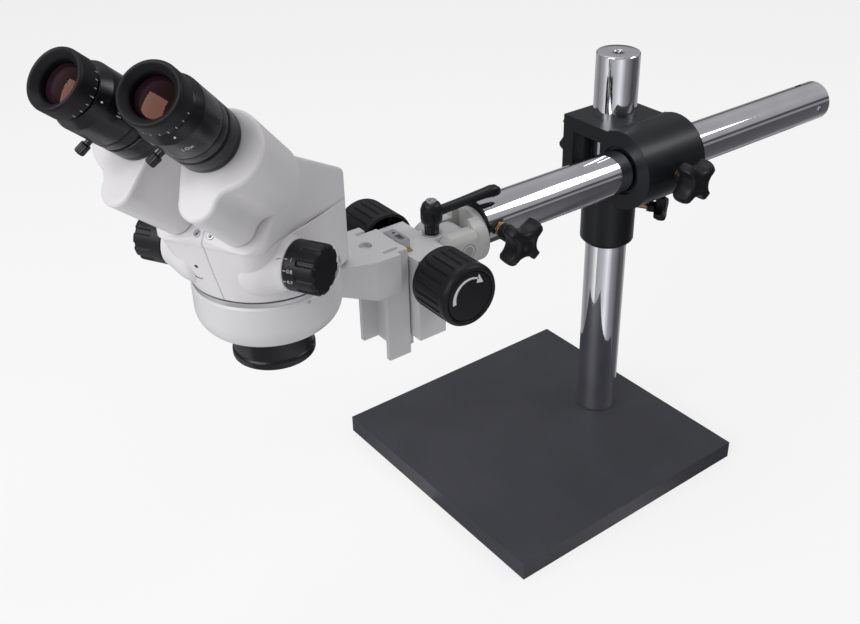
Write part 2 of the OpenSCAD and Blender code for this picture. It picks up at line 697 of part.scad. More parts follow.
module eye_lens(side) color("lightblue") at_eye(side) translate([0, 0, 49]) cylinder(r = 11.5, h = 6.8);

module lock_screw(side) color("black") at_eye(side) translate([0, 0, 21]) rotate([0, 90, lock_turn]) {
    translate([0, 0, 15.1]) cylinder(r = 2, h = 8);
    translate([0, 0, barrel_r + 3.2]) cylinder(r = 3.7, h = 8);
}

module eyetube_near() eyetube(NEAR);
module eyetube_far() eyetube(FAR);
module eyepiece_near() eyepiece(NEAR);
module eyepiece_far() eyepiece(FAR);
module eyecup_near() eyecup(NEAR);
module eyecup_far() eyecup(FAR);
module eye_lens_near() eye_lens(NEAR);
module eye_lens_far() eye_lens(FAR);
module lock_screw_near() lock_screw(NEAR);
module lock_screw_far() lock_screw(FAR);

base_plate();
base_feet();
post();
post_bolt();
post_washer();
safety_collar();
collar_knob();
clamp_block();
post_lock_knob();
boom_lock_knob();
boom_key_screw();
boom();
boom_stop_screw();
head_lock_knob();
spacer_ring();
knuckle();
tilt_pin();
focus_housing();
gib_strip();
clamp_lever();
lever_screw();
lever_washer();
pinion_shaft();
focus_knob_near();
focus_knob_far();
tension_cap();
slider();
dovetail_bar();
focus_rack();
ring_arm();
arm_screws();
ring_lock_screw();
optics_frame();
objective_ring();
objective_glass();
lens_cells();
guide_rods();
zoom_carriage();
zoom_shaft();
zoom_knob_near();
zoom_knob_far();
lower_cover_near();
lower_cover_far();
upper_cover_near();
upper_cover_far();
cover_screws();
prism_housing_near();
prism_housing_far();
prism_near();
prism_far();
eyetube_near();
eyetube_far();
eyepiece_near();
eyepiece_far();
eyecup_near();
eyecup_far();
eye_lens_near();
eye_lens_far();
lock_screw_near();
lock_screw_far();
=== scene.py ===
"""Stereo zoom microscope on a boom stand: detailed surfaces, finishes, light and camera."""
import sys

import json
import logging
from collections.abc import Callable, Sequence
from dataclasses import dataclass, field
from enum import Enum
from functools import reduce

import bmesh
import bpy
import numpy as np
from mathutils import Matrix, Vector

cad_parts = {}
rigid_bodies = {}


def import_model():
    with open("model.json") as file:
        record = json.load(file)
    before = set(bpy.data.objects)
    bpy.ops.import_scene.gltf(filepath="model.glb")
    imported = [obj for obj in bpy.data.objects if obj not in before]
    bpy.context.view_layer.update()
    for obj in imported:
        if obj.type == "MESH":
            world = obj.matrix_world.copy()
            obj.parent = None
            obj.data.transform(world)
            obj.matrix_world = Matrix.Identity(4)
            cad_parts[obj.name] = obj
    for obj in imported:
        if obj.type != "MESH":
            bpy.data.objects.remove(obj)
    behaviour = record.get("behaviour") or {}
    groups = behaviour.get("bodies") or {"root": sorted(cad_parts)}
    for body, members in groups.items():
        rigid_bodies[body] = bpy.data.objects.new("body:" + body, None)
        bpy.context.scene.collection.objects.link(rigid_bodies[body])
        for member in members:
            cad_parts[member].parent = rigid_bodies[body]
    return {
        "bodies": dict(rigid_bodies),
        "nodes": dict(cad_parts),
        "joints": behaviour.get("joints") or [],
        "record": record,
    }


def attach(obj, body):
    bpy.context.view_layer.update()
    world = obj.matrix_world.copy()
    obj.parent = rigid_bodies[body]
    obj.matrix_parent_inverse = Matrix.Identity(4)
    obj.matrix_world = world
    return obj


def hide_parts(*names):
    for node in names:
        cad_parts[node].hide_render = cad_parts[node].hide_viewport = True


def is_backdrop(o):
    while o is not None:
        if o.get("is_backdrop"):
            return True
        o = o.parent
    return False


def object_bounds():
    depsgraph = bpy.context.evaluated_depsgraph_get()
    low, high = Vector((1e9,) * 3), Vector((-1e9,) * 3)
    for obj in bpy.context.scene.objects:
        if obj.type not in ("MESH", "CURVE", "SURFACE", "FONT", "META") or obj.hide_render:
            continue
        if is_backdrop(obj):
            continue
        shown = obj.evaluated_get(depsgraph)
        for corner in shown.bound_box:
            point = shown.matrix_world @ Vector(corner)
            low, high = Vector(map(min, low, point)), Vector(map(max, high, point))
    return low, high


log = logging.getLogger("microscope")
MM = 0.001


class Side(Enum):
    """Which side of the head a piece is on; the value is its sign across the head."""

    NEAR = 1
    FAR = -1


# ---------------------------------------------------------------------------
# Shapes


@dataclass
class Shape:
    """A closed or open surface in millimetres.

    Args:
        points: Array of vertex positions, one row each.
        faces: Vertex numbers of each face.
    """

    points: np.ndarray
    faces: list[Sequence[int]]

    def moved(self, place: np.ndarray) -> "Shape":
        """Returns the shape carried by a 4 by 4 matrix."""
        return Shape(self.points @ place[:3, :3].T + place[:3, 3], self.faces)

    def plus(self, other: "Shape") -> "Shape":
        """Returns this shape and another as one."""
        shift = len(self.points)
        extra = [[k + shift for k in face] for face in other.faces]
        return Shape(np.vstack([self.points, other.points]), list(self.faces) + extra)


def move(x: float, y: float, z: float) -> np.ndarray:
    """Returns the matrix that shifts by x, y and z."""
    out = np.eye(4)
    out[:3, 3] = (x, y, z)
    return out


def turn(axis: str, degrees: float) -> np.ndarray:
    """Returns the matrix that turns about one axis by the right-hand rule."""
    return np.array(Matrix.Rotation(np.radians(degrees), 4, axis))


def axes(x: Sequence[float], y: Sequence[float], z: Sequence[float], at: Sequence[float]) -> np.ndarray:
    """Returns the matrix with the given axes and origin."""
    out = np.eye(4)
    out[:3] = np.column_stack([x, y, z, at])
    return out


def smoothstep(value: np.ndarray) -> np.ndarray:
    """Returns 0 below 0, 1 above 1, and three value squared minus two value cubed between."""
    t = np.clip(value, 0.0, 1.0)
    return t * t * (3.0 - 2.0 * t)


def from_rings(rings: np.ndarray, wrap: bool = True, caps: bool = True) -> Shape:
    """Joins rows of points into a surface of quads.

    Args:
        rings: Array of rows, points and coordinates; each row is one ring.
        wrap: Whether each row closes on itself.
        caps: Whether the first and last rows are closed by one face each.

    Returns:
        The surface: quad (i, j) joins row i to row i + 1 between points j and j + 1.
    """
    rows, count = rings.shape[:2]
    j = np.arange(count if wrap else count - 1)
    nxt = (j + 1) % count
    base = (np.arange(rows - 1) * count)[:, None]
    quads = np.stack([base + j, base + nxt, base + count + nxt, base + count + j], axis=-1)
    faces: list[Sequence[int]] = quads.reshape(-1, 4).tolist()
    if caps and wrap:
        faces.append(list(range(count - 1, -1, -1)))
        faces.append(list(range((rows - 1) * count, rows * count)))
    return Shape(rings.reshape(-1, 3), faces)


def slab(outline: np.ndarray, low: float, high: float) -> Shape:
    """Returns a flat outline as a solid between two heights."""
    rows = [np.column_stack([outline, np.full(len(outline), height)]) for height in (low, high)]
    return from_rings(np.stack(rows))


def evenly(line: np.ndarray, count: int) -> np.ndarray:
    """Returns points spaced evenly along a line's length, both ends included."""
    run = np.concatenate([[0], np.cumsum(np.linalg.norm(np.diff(line, axis=0), axis=1))])
    even = np.linspace(0, run[-1], count)
    return np.stack([np.interp(even, run, line[:, 0]), np.interp(even, run, line[:, 1])], axis=-1)


def softened(path: np.ndarray, radius: float, steps: int = 4) -> np.ndarray:
    """Rounds the inner corners of an open path.

    Each corner becomes a quadratic curve between two points that lie on its
    sides, at the radius or at 45% of the shorter side.

    Args:
        path: Array of points.
        radius: Distance from the corner at which the rounding starts.
        steps: Points on each rounded corner.

    Returns:
        The longer path.
    """
    before, corner, after = path[:-2], path[1:-1], path[2:]
    back, ahead = before - corner, after - corner
    back_len = np.linalg.norm(back, axis=1, keepdims=True)
    ahead_len = np.linalg.norm(ahead, axis=1, keepdims=True)
    reach = np.minimum(radius, 0.45 * np.minimum(back_len, ahead_len))
    start = corner + back / back_len * reach
    end = corner + ahead / ahead_len * reach
    t = np.linspace(0.0, 1.0, steps)[None, :, None]
    curve = (1 - t) ** 2 * start[:, None] + 2 * t * (1 - t) * corner[:, None] + t**2 * end[:, None]
    return np.vstack([path[:1], curve.reshape(-1, path.shape[1]), path[-1:]])


def lathe(
    profile: Sequence[tuple[float, float]],
    rounding: float = 0.3,
    count: int = 96,
    swell: Callable[[np.ndarray, np.ndarray, np.ndarray], np.ndarray] | None = None,
    loop: bool = False,
) -> Shape:
    """Turns a profile about +Z.

    Point (i, j) is (r cos a, r sin a, h), with r and h from the softened
    profile and a going once round.

    Args:
        profile: Pairs of radius and height, from one end to the other.
        rounding: Rounding of the profile's corners.
        count: Points round the axis.
        swell: Function of radius, height and angle that returns the new radius.
        loop: Whether the profile closes on itself, as a tube's does.

    Returns:
        The closed surface.
    """
    line = softened(np.array(profile, float), rounding)
    angle = np.linspace(0.0, 2 * np.pi, count, endpoint=False)[None, :]
    radius = np.maximum(line[:, :1], 1e-3) * np.ones_like(angle)
    height = line[:, 1:] * np.ones_like(angle)
    if swell is not None:
        radius = swell(radius, height, angle + 0 * radius)
    rings = np.stack([radius * np.cos(angle), radius * np.sin(angle), height], axis=-1)
    if loop:
        return from_rings(np.concatenate([rings, rings[:1]]), caps=False)
    return from_rings(rings)


def on_drum(points: np.ndarray, radius: float) -> np.ndarray:
    """Wraps flat points on a drum about +Z: x becomes arc length round it, y its height, z its relief."""
    angle = points[:, 0] / radius
    out = radius + points[:, 2]
    return np.stack([out * np.cos(angle), out * np.sin(angle), points[:, 1]], axis=-1)


def tile(width: float, height: float, relief: float, x: float = 0.0, y: float = 0.0) -> Shape:
    """Returns a thin plate centred on x and y, with its top at the relief and fine steps across.

    Its grid runs over the width and height, once at the relief and once below it.
    """
    u = np.linspace(-width / 2, width / 2, 7) + x
    ring = np.concatenate([
        np.stack([u, np.full(7, y - height / 2)], axis=-1),
        np.stack([u[::-1], np.full(7, y + height / 2)], axis=-1)])
    return slab(ring, -0.2, relief)


def lettering(words: str, height: float, relief: float = 0.06) -> Shape:
    """Returns generic numerals as a thin raised shape, centred on the origin.

    Args:
        words: Digits and signs.
        height: Height of a digit.
        relief: Half of the thickness.
    """
    curve = bpy.data.curves.new("numerals", "FONT")
    curve.body = words
    curve.size = height * 1.4
    curve.align_x = "CENTER"
    curve.align_y = "CENTER"
    curve.extrude = relief
    curve.resolution_u = 3
    holder = bpy.data.objects.new("numerals", curve)
    bpy.context.collection.objects.link(holder)
    bpy.context.view_layer.update()
    evaluated = holder.evaluated_get(bpy.context.evaluated_depsgraph_get())
    mesh = evaluated.to_mesh()
    flat = np.empty(len(mesh.vertices) * 3)
    mesh.vertices.foreach_get("co", flat)
    faces = [list(p.vertices) for p in mesh.polygons]
    evaluated.to_mesh_clear()
    bpy.data.objects.remove(holder)
    bpy.data.curves.remove(curve)
    return Shape(flat.reshape(-1, 3), faces)


# ---------------------------------------------------------------------------
# Finishes


@dataclass(frozen=True)
class CoatFinish:
    """A painted, anodised or moulded finish.

    Args:
        name: Name of the finish.
        slot: Material slot of the record; not used.
        colour: Main colour, linear.
        deep: Colour of the darker cloudy areas.
        rough: Mean roughness.
        grain_mm: Size of the texture's grain.
        bump: Strength of the grain, 0 to 1.
        coat: Weight of the clear coat.
        edge_mm: Radius that the light sees on sharp edges.
        spots: Strength of the fine sparkle in the colour.
        shine: Strength of the mirror-like reflection, 0.5 for plain plastic.
    """

    name: str
    slot: str
    colour: tuple[float, float, float]
    deep: tuple[float, float, float]
    rough: float = 0.4
    grain_mm: float = 0.5
    bump: float = 0.15
    coat: float = 0.0
    edge_mm: float = 0.5
    spots: float = 0.15
    shine: float = 0.5


@dataclass(frozen=True)
class MetalFinish:
    """A bare or plated metal.

    Args:
        name: Name of the finish.
        slot: Material slot of the record; not used.
        colour: Colour of the metal, linear.
        rough: Mean roughness.
        streak: How far the grain is drawn out along each axis.
        bump: Strength of the drawn grain.
    """

    name: str
    slot: str
    colour: tuple[float, float, float]
    rough: float = 0.1
    streak: tuple[float, float, float] = (1.0, 1.0, 1.0)
    bump: float = 0.05


@dataclass(frozen=True)
class LensFinish:
    """A coated lens.

    Args:
        name: Name of the finish.
        slot: Material slot of the record; not used.
        middle: Colour seen through the middle.
        rim: Colour of the coating's reflection at a shallow angle, painted into the base colour.
    """

    name: str
    slot: str
    middle: tuple[float, float, float]
    rim: tuple[float, float, float]


Finish = CoatFinish | MetalFinish | LensFinish


def blank_material(name: str) -> bpy.types.Material:
    """Returns a new material with an empty node tree."""
    material = bpy.data.materials.new(name)
    material.use_nodes = True
    material.node_tree.nodes.clear()
    return material


def fill_ramp(ramp: bpy.types.ColorRamp, stops: Sequence[tuple[float, float]], blue: float) -> None:
    """Puts grey levels on a ramp, before the stop it already has at its end.

    Args:
        ramp: A new ramp.
        stops: Position and grey level of each stop.
        blue: Factor on the blue of each level.
    """
    for k, (at, level) in enumerate(stops):
        stop = ramp.elements[0] if k == 0 else ramp.elements.new(at)
        stop.position = at
        stop.color = (level, level, blue * level, 1.0)


def place_nodes(nodes: Sequence[bpy.types.Node], left: float, top: float) -> None:
    """Sets the nodes' locations in a row from the left."""
    for k, node in enumerate(nodes):
        node.location = (left + 200 * k, top)


def coat_material(finish: CoatFinish) -> bpy.types.Material:
    """Builds a coat: cloudy colour, sparkle, grain, rounded edges and a clear coat.

    Args:
        finish: The finish's numbers.

    Returns:
        The material.
    """
    material = blank_material(finish.name)
    nodes, links = material.node_tree.nodes, material.node_tree.links

    colour_frame = nodes.new("NodeFrame")
    colour_frame.label = "Colour: clouds and sparkle"
    grain_frame = nodes.new("NodeFrame")
    grain_frame.label = "Surface: grain and soft edges"

    where = nodes.new("ShaderNodeTexCoord")
    where.label = "Place on the object"
    clouds = nodes.new("ShaderNodeTexNoise")
    clouds.label = "Slow clouds in the coat"
    clouds.inputs["Scale"].default_value = 22.0
    clouds.inputs["Detail"].default_value = 4.0
    tone = nodes.new("ShaderNodeValToRGB")
    tone.label = "Clouds to coat colours"
    tone.color_ramp.elements[0].position = 0.3
    tone.color_ramp.elements[0].color = (*finish.deep, 1.0)
    tone.color_ramp.elements[1].position = 0.7
    tone.color_ramp.elements[1].color = (*finish.colour, 1.0)
    speck = nodes.new("ShaderNodeTexNoise")
    speck.label = "Fine specks"
    speck.inputs["Scale"].default_value = 1.0 / (finish.grain_mm * MM * 0.7)
    speck.inputs["Detail"].default_value = 2.0
    fleck = nodes.new("ShaderNodeMapRange")
    fleck.label = "Speck strength"
    fleck.inputs["From Min"].default_value = 0.3
    fleck.inputs["From Max"].default_value = 0.7
    fleck.inputs["To Min"].default_value = 1.0 - finish.spots
    fleck.inputs["To Max"].default_value = 1.0 + finish.spots
    mixed = nodes.new("ShaderNodeVectorMath")
    mixed.label = "Specks over clouds"
    mixed.operation = "MULTIPLY"

    grain = nodes.new("ShaderNodeTexNoise")
    grain.label = "Grain of the coat"
    grain.inputs["Scale"].default_value = 1.0 / (finish.grain_mm * MM)
    grain.inputs["Detail"].default_value = 3.0
    gloss = nodes.new("ShaderNodeMapRange")
    gloss.label = "Grain to roughness"
    gloss.inputs["To Min"].default_value = max(0.03, finish.rough - 0.08)
    gloss.inputs["To Max"].default_value = min(1.0, finish.rough + 0.08)
    edge = nodes.new("ShaderNodeBevel")
    edge.label = "Light rounds the sharp edges"
    edge.samples = 4
    edge.inputs["Radius"].default_value = finish.edge_mm * MM
    relief = nodes.new("ShaderNodeBump")
    relief.label = "Grain stands up"
    relief.inputs["Strength"].default_value = finish.bump
    relief.inputs["Distance"].default_value = finish.grain_mm * MM * 0.5

    shader = nodes.new("ShaderNodeBsdfPrincipled")
    shader.label = "Coat"
    shader.inputs["Specular IOR Level"].default_value = finish.shine
    shader.inputs["Coat Weight"].default_value = finish.coat
    shader.inputs["Coat Roughness"].default_value = 0.15
    out = nodes.new("ShaderNodeOutputMaterial")
    out.label = "Surface of the piece"

    for node in (clouds, tone, speck, fleck, mixed):
        node.parent = colour_frame
    for node in (grain, gloss, edge, relief):
        node.parent = grain_frame
    place_nodes([where], -1400, 0)
    place_nodes([clouds, tone, mixed], -1100, 300)
    place_nodes([speck, fleck], -1100, 60)
    place_nodes([grain, gloss], -1100, -220)
    place_nodes([edge, relief], -1100, -460)
    place_nodes([shader, out], -200, 0)

    links.new(where.outputs["Object"], clouds.inputs["Vector"])
    links.new(where.outputs["Object"], speck.inputs["Vector"])
    links.new(where.outputs["Object"], grain.inputs["Vector"])
    links.new(clouds.outputs["Fac"], tone.inputs["Fac"])
    links.new(speck.outputs["Fac"], fleck.inputs["Value"])
    links.new(tone.outputs["Color"], mixed.inputs[0])
    links.new(fleck.outputs["Result"], mixed.inputs[1])
    links.new(mixed.outputs["Vector"], shader.inputs["Base Color"])
    links.new(grain.outputs["Fac"], gloss.inputs["Value"])
    links.new(gloss.outputs["Result"], shader.inputs["Roughness"])
    links.new(edge.outputs["Normal"], relief.inputs["Normal"])
    links.new(grain.outputs["Fac"], relief.inputs["Height"])
    links.new(relief.outputs["Normal"], shader.inputs["Normal"])
    links.new(shader.outputs["BSDF"], out.inputs["Surface"])
    return material


def metal_material(finish: MetalFinish) -> bpy.types.Material:
    """Builds a metal: drawn grain in the roughness and relief, and a faint tarnish.

    Args:
        finish: The finish's numbers.

    Returns:
        The material.
    """
    material = blank_material(finish.name)
    nodes, links = material.node_tree.nodes, material.node_tree.links

    drawn_frame = nodes.new("NodeFrame")
    drawn_frame.label = "Drawn grain"
    tint_frame = nodes.new("NodeFrame")
    tint_frame.label = "Tarnish"

    where = nodes.new("ShaderNodeTexCoord")
    where.label = "Place on the object"
    stretch = nodes.new("ShaderNodeMapping")
    stretch.label = "Stretch along the grain"
    stretch.inputs["Scale"].default_value = finish.streak
    lines = nodes.new("ShaderNodeTexNoise")
    lines.label = "Fine drawn lines"
    lines.inputs["Scale"].default_value = 900.0
    lines.inputs["Detail"].default_value = 3.0
    gloss = nodes.new("ShaderNodeMapRange")
    gloss.label = "Lines to roughness"
    gloss.inputs["To Min"].default_value = finish.rough * 0.6
    gloss.inputs["To Max"].default_value = finish.rough * 1.5
    edge = nodes.new("ShaderNodeBevel")
    edge.label = "Light rounds the sharp edges"
    edge.samples = 4
    edge.inputs["Radius"].default_value = 0.3 * MM
    relief = nodes.new("ShaderNodeBump")
    relief.label = "Lines stand up"
    relief.inputs["Strength"].default_value = finish.bump
    relief.inputs["Distance"].default_value = 0.05 * MM
    stain = nodes.new("ShaderNodeTexNoise")
    stain.label = "Faint tarnish patches"
    stain.inputs["Scale"].default_value = 35.0
    tone = nodes.new("ShaderNodeValToRGB")
    tone.label = "Tarnish to colour"
    tone.color_ramp.elements[0].color = tuple(0.82 * c for c in finish.colour) + (1.0,)
    tone.color_ramp.elements[1].color = (*finish.colour, 1.0)
    tone.color_ramp.elements[1].position = 0.65
    shader = nodes.new("ShaderNodeBsdfPrincipled")
    shader.label = "Metal"
    shader.inputs["Metallic"].default_value = 1.0
    out = nodes.new("ShaderNodeOutputMaterial")
    out.label = "Surface of the piece"

    for node in (stretch, lines, gloss, edge, relief):
        node.parent = drawn_frame
    for node in (stain, tone):
        node.parent = tint_frame
    place_nodes([where, stretch, lines, gloss], -1500, 0)
    place_nodes([edge, relief], -900, -260)
    place_nodes([stain, tone], -900, 260)
    place_nodes([shader, out], -300, 0)

    links.new(where.outputs["Object"], stretch.inputs["Vector"])
    links.new(stretch.outputs["Vector"], lines.inputs["Vector"])
    links.new(lines.outputs["Fac"], gloss.inputs["Value"])
    links.new(gloss.outputs["Result"], shader.inputs["Roughness"])
    links.new(lines.outputs["Fac"], relief.inputs["Height"])
    links.new(edge.outputs["Normal"], relief.inputs["Normal"])
    links.new(relief.outputs["Normal"], shader.inputs["Normal"])
    links.new(where.outputs["Object"], stain.inputs["Vector"])
    links.new(stain.outputs["Fac"], tone.inputs["Fac"])
    links.new(tone.outputs["Color"], shader.inputs["Base Color"])
    links.new(shader.outputs["BSDF"], out.inputs["Surface"])
    return material


def lens_material(finish: LensFinish) -> bpy.types.Material:
    """Builds a coated lens: a dark glossy depth, with the coating's reflection painted into the base colour,
    stronger at a shallow angle.

    Args:
        finish: The finish's colours.

    Returns:
        The material.
    """
    material = blank_material(finish.name)
    nodes, links = material.node_tree.nodes, material.node_tree.links

    # Painted reflection: the coating's coloured reflection is painted into the base colour, mixed in by the
    # facing angle times the noise, so it is stronger at a shallow angle.
    painted_reflection_frame = nodes.new("NodeFrame")
    painted_reflection_frame.label = "Coating"
    where = nodes.new("ShaderNodeTexCoord")
    where.label = "Place on the object"
    drift = nodes.new("ShaderNodeTexNoise")
    drift.label = "Uneven film"
    drift.inputs["Scale"].default_value = 45.0
    facing = nodes.new("ShaderNodeLayerWeight")
    facing.label = "Painted reflection, stronger at a shallow angle"
    facing.inputs["Blend"].default_value = 0.35
    blend = nodes.new("ShaderNodeMath")
    blend.label = "Painted reflection strength"
    blend.operation = "MULTIPLY"
    tone = nodes.new("ShaderNodeValToRGB")
    tone.label = "Depth to painted reflection colours"
    tone.color_ramp.elements[0].color = (*finish.middle, 1.0)
    tone.color_ramp.elements[1].color = (*finish.rim, 1.0)
    tone.color_ramp.elements[1].position = 0.4
    shader = nodes.new("ShaderNodeBsdfPrincipled")
    shader.label = "Lens"
    shader.inputs["Roughness"].default_value = 0.03
    shader.inputs["IOR"].default_value = 1.6
    shader.inputs["Specular IOR Level"].default_value = 0.3
    shader.inputs["Specular Tint"].default_value = (1.0, 0.45, 0.32, 1.0)
    out = nodes.new("ShaderNodeOutputMaterial")
    out.label = "Surface of the lens"
    for node in (drift, facing, blend, tone):
        node.parent = painted_reflection_frame
    place_nodes([where, drift, blend, tone, shader, out], -1200, 0)
    place_nodes([facing], -1000, -240)
    links.new(where.outputs["Object"], drift.inputs["Vector"])
    links.new(drift.outputs["Fac"], blend.inputs[0])
    links.new(facing.outputs["Facing"], blend.inputs[1])
    links.new(blend.outputs["Value"], tone.inputs["Fac"])
    links.new(tone.outputs["Color"], shader.inputs["Base Color"])
    links.new(shader.outputs["BSDF"], out.inputs["Surface"])
    return material


HEAD_WHITE = CoatFinish("head white enamel", "head_coat", (0.745, 0.73, 0.745), (0.71, 0.695, 0.712),
                        rough=0.42, grain_mm=0.45, bump=0.10, coat=0.12, edge_mm=0.8, spots=0.015)
ARM_GREY = CoatFinish("arm grey enamel", "arm_coat", (0.69, 0.685, 0.695), (0.65, 0.645, 0.655),
                      rough=0.40, grain_mm=0.4, bump=0.10, coat=0.15, edge_mm=0.6, spots=0.02)
KNUCKLE_GREY = CoatFinish("knuckle warm grey", "arm_coat", (0.60, 0.60, 0.585), (0.55, 0.55, 0.54),
                          rough=0.42, grain_mm=0.5, bump=0.14, coat=0.12, edge_mm=0.7, spots=0.03)
BASE_CHARCOAL = CoatFinish("base charcoal powder coat", "base_coat", (0.040, 0.041, 0.052),
                           (0.032, 0.033, 0.043),
                           rough=0.55, grain_mm=0.9, bump=0.55, coat=0.0, edge_mm=0.5, spots=0.35)
CLAMP_BLACK = CoatFinish("clamp black enamel", "black_coat", (0.010, 0.011, 0.014), (0.007, 0.008, 0.010),
                         rough=0.36, grain_mm=0.6, bump=0.30, coat=0.1, edge_mm=1.0, spots=0.2, shine=0.3)
KNOB_BLACK = CoatFinish("knob black plastic", "knob_plastic", (0.007, 0.007, 0.010), (0.005, 0.005, 0.007),
                        rough=0.42, grain_mm=0.35, bump=0.14, coat=0.0, edge_mm=0.5, spots=0.12, shine=0.32)
EYE_BLACK = CoatFinish("eyepiece black anodised", "black_anodised", (0.006, 0.006, 0.009),
                       (0.004, 0.004, 0.006),
                       rough=0.27, grain_mm=0.25, bump=0.05, coat=0.0, edge_mm=0.3, spots=0.08, shine=0.4)
CUP_RUBBER = CoatFinish("eyecup rubber", "rubber", (0.006, 0.006, 0.008), (0.004, 0.004, 0.006),
                        rough=0.52, grain_mm=0.3, bump=0.16, coat=0.0, edge_mm=0.4, spots=0.12, shine=0.3)
# Dark finish: painted shade in gaps and holes (the groove at the head's rim, the gap round the tilt pin, the
# lock hole and the set-screw holes), and the colour of the dark printed lock arc and zoom index.
PAINTED_SHADE_AND_PRINT_DARK = CoatFinish("seam shadow", "knob_plastic", (0.02, 0.02, 0.022), (0.015, 0.015, 0.016),
                      rough=0.7, grain_mm=0.5, bump=0.05)
MARK_WHITE = CoatFinish("printed white", "head_coat", (0.78, 0.78, 0.8), (0.7, 0.7, 0.72),
                        rough=0.5, grain_mm=0.2, bump=0.05, spots=0.05)
SOCKET_BROWN = CoatFinish("socket shadow", "steel", (0.12, 0.065, 0.03), (0.08, 0.04, 0.02),
                          rough=0.5, grain_mm=0.2, bump=0.05)
CHROME = MetalFinish("polished chrome", "chrome", (0.86, 0.86, 0.90), rough=0.045, streak=(0.05, 1.0, 1.0),
                     bump=0.02)
POST_CHROME = MetalFinish("post chrome", "chrome", (0.86, 0.86, 0.90), rough=0.05, streak=(1.0, 1.0, 0.05),
                          bump=0.02)
PLAIN_STEEL = MetalFinish("plain steel", "steel", (0.56, 0.56, 0.58), rough=0.30, streak=(1.0, 1.0, 0.2),
                          bump=0.03)
PLAIN_BRASS = MetalFinish("plain brass", "brass", (0.62, 0.38, 0.16), rough=0.32, streak=(1.0, 1.0, 0.2),
                          bump=0.1)
MACHINED = MetalFinish("machined aluminium", "bare_aluminium", (0.70, 0.70, 0.71), rough=0.42, bump=0.03)
# Lens finishes: the rim colours are the coating's reflection, painted into the base colour.
EYE_LENS = LensFinish("eye lens", "coated_glass", (0.003, 0.003, 0.004), (0.03, 0.010, 0.018))
OBJECTIVE_LENS = LensFinish("objective lens", "coated_glass", (0.01, 0.012, 0.02), (0.08, 0.06, 0.12))


class Shop:
    """Keeps one material for each finish and makes the pieces."""

    def __init__(self, frame: dict) -> None:
        """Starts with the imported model's frame."""
        self.frame = frame
        self.stock: dict[str, bpy.types.Material] = {}

    def material(self, finish: Finish) -> bpy.types.Material:
        """Returns the finish's material, built once."""
        if finish.name not in self.stock:
            makers = {CoatFinish: coat_material, MetalFinish: metal_material, LensFinish: lens_material}
            self.stock[finish.name] = makers[type(finish)](finish)
        return self.stock[finish.name]

    def dress(self, finish: Finish, *nodes: str) -> None:
        """Gives kept CAD nodes a finish."""
        for name in nodes:
            item = self.frame["nodes"][name]
            item.data.materials.clear()
            item.data.materials.append(self.material(finish))
            log.info("dressed %s in %s", name, finish.name)

    def piece(
        self,
        name: str,
        shape: Shape,
        finish: Finish,
        body: str,
        replaces: Sequence[str] = (),
        sharp: float = 40.0,
        wall: float = 0.0,
    ) -> bpy.types.Object:
        """Makes a new piece that rides on a body.

        Args:
            name: The piece's name.
            shape: Its surface in millimetres, in the row frame.
            finish: Its finish.
            body: The CAD body it moves with.
            replaces: CAD nodes it stands for.
            sharp: Angle in degrees above which an edge stays sharp.
            wall: Thickness grown inwards on an open shell, 0 for none.

        Returns:
            The object.
        """
        mesh = bpy.data.meshes.new(name)
        mesh.from_pydata((shape.points * MM).tolist(), [], shape.faces)
        work = bmesh.new()
        work.from_mesh(mesh)
        bmesh.ops.remove_doubles(work, verts=work.verts, dist=1e-6)
        if wall == 0.0:
            bmesh.ops.recalc_face_normals(work, faces=work.faces)
        work.to_mesh(mesh)
        work.free()
        mesh.polygons.foreach_set("use_smooth", np.ones(len(mesh.polygons), bool))
        mesh.set_sharp_from_angle(angle=np.radians(sharp))
        mesh.materials.append(self.material(finish))
        made = bpy.data.objects.new(name, mesh)
        bpy.context.collection.objects.link(made)
        if wall:
            shell = made.modifiers.new("wall", "SOLIDIFY")
            shell.thickness = wall * MM
            shell.offset = -1.0
        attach(made, body)
        if replaces:
            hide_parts(*replaces)
        log.info("piece %s: %d faces on %s", name, len(mesh.polygons), body)
        return made


def seat_on(target: bpy.types.Object, outside: np.ndarray, inward: np.ndarray) -> np.ndarray:
    """Finds the place where a line meets a piece.

    Args:
        target: The piece.
        outside: A point outside it, in millimetres.
        inward: Direction of the line.

    Returns:
        A matrix at the meeting point, with +Z along the outward normal and
        +Y as near to up as the surface allows.
    """
    unit = inward / np.linalg.norm(inward)
    hit, point, normal, _ = target.ray_cast((outside * MM).tolist(), unit.tolist())
    z = np.array(normal) if hit else -unit
    z = z if z @ unit < 0 else -z
    y = np.array([0.0, 0.0, 1.0]) - z * z[2]
    y /= np.linalg.norm(y)
    return axes(np.cross(y, z), y, z, np.array(point) / MM if hit else outside)


def dot(radius: float, relief: float = 0.06) -> Shape:
    """Returns a thin round plate, sunk half a millimetre, for the painted shade in a hole or for a screw."""
    return lathe([(0, -0.5), (radius, -0.5), (radius, relief), (0, relief)], 0.02, 32)


def arc_mark(radius: float, start: float, end: float, half: float) -> Shape:
    """Returns a flat curved line about the origin, with tapering ends.

    Args:
        radius: Radius of its centre line.
        start: First angle in degrees.
        end: Last angle in degrees.
        half: Half width in the middle; it follows the sine along the line.
    """
    t = np.linspace(0, 1, 30)
    angle = np.radians(start + (end - start) * t)
    wide = half * (0.25 + 0.75 * np.sin(np.pi * t))
    along = np.stack([np.cos(angle), np.sin(angle)], axis=-1)
    inner, outer = along * (radius - wide)[:, None], along * (radius + wide)[:, None]
    return slab(np.concatenate([inner, outer[::-1]]), -0.6, 0.12)


# ---------------------------------------------------------------------------
# Knobs


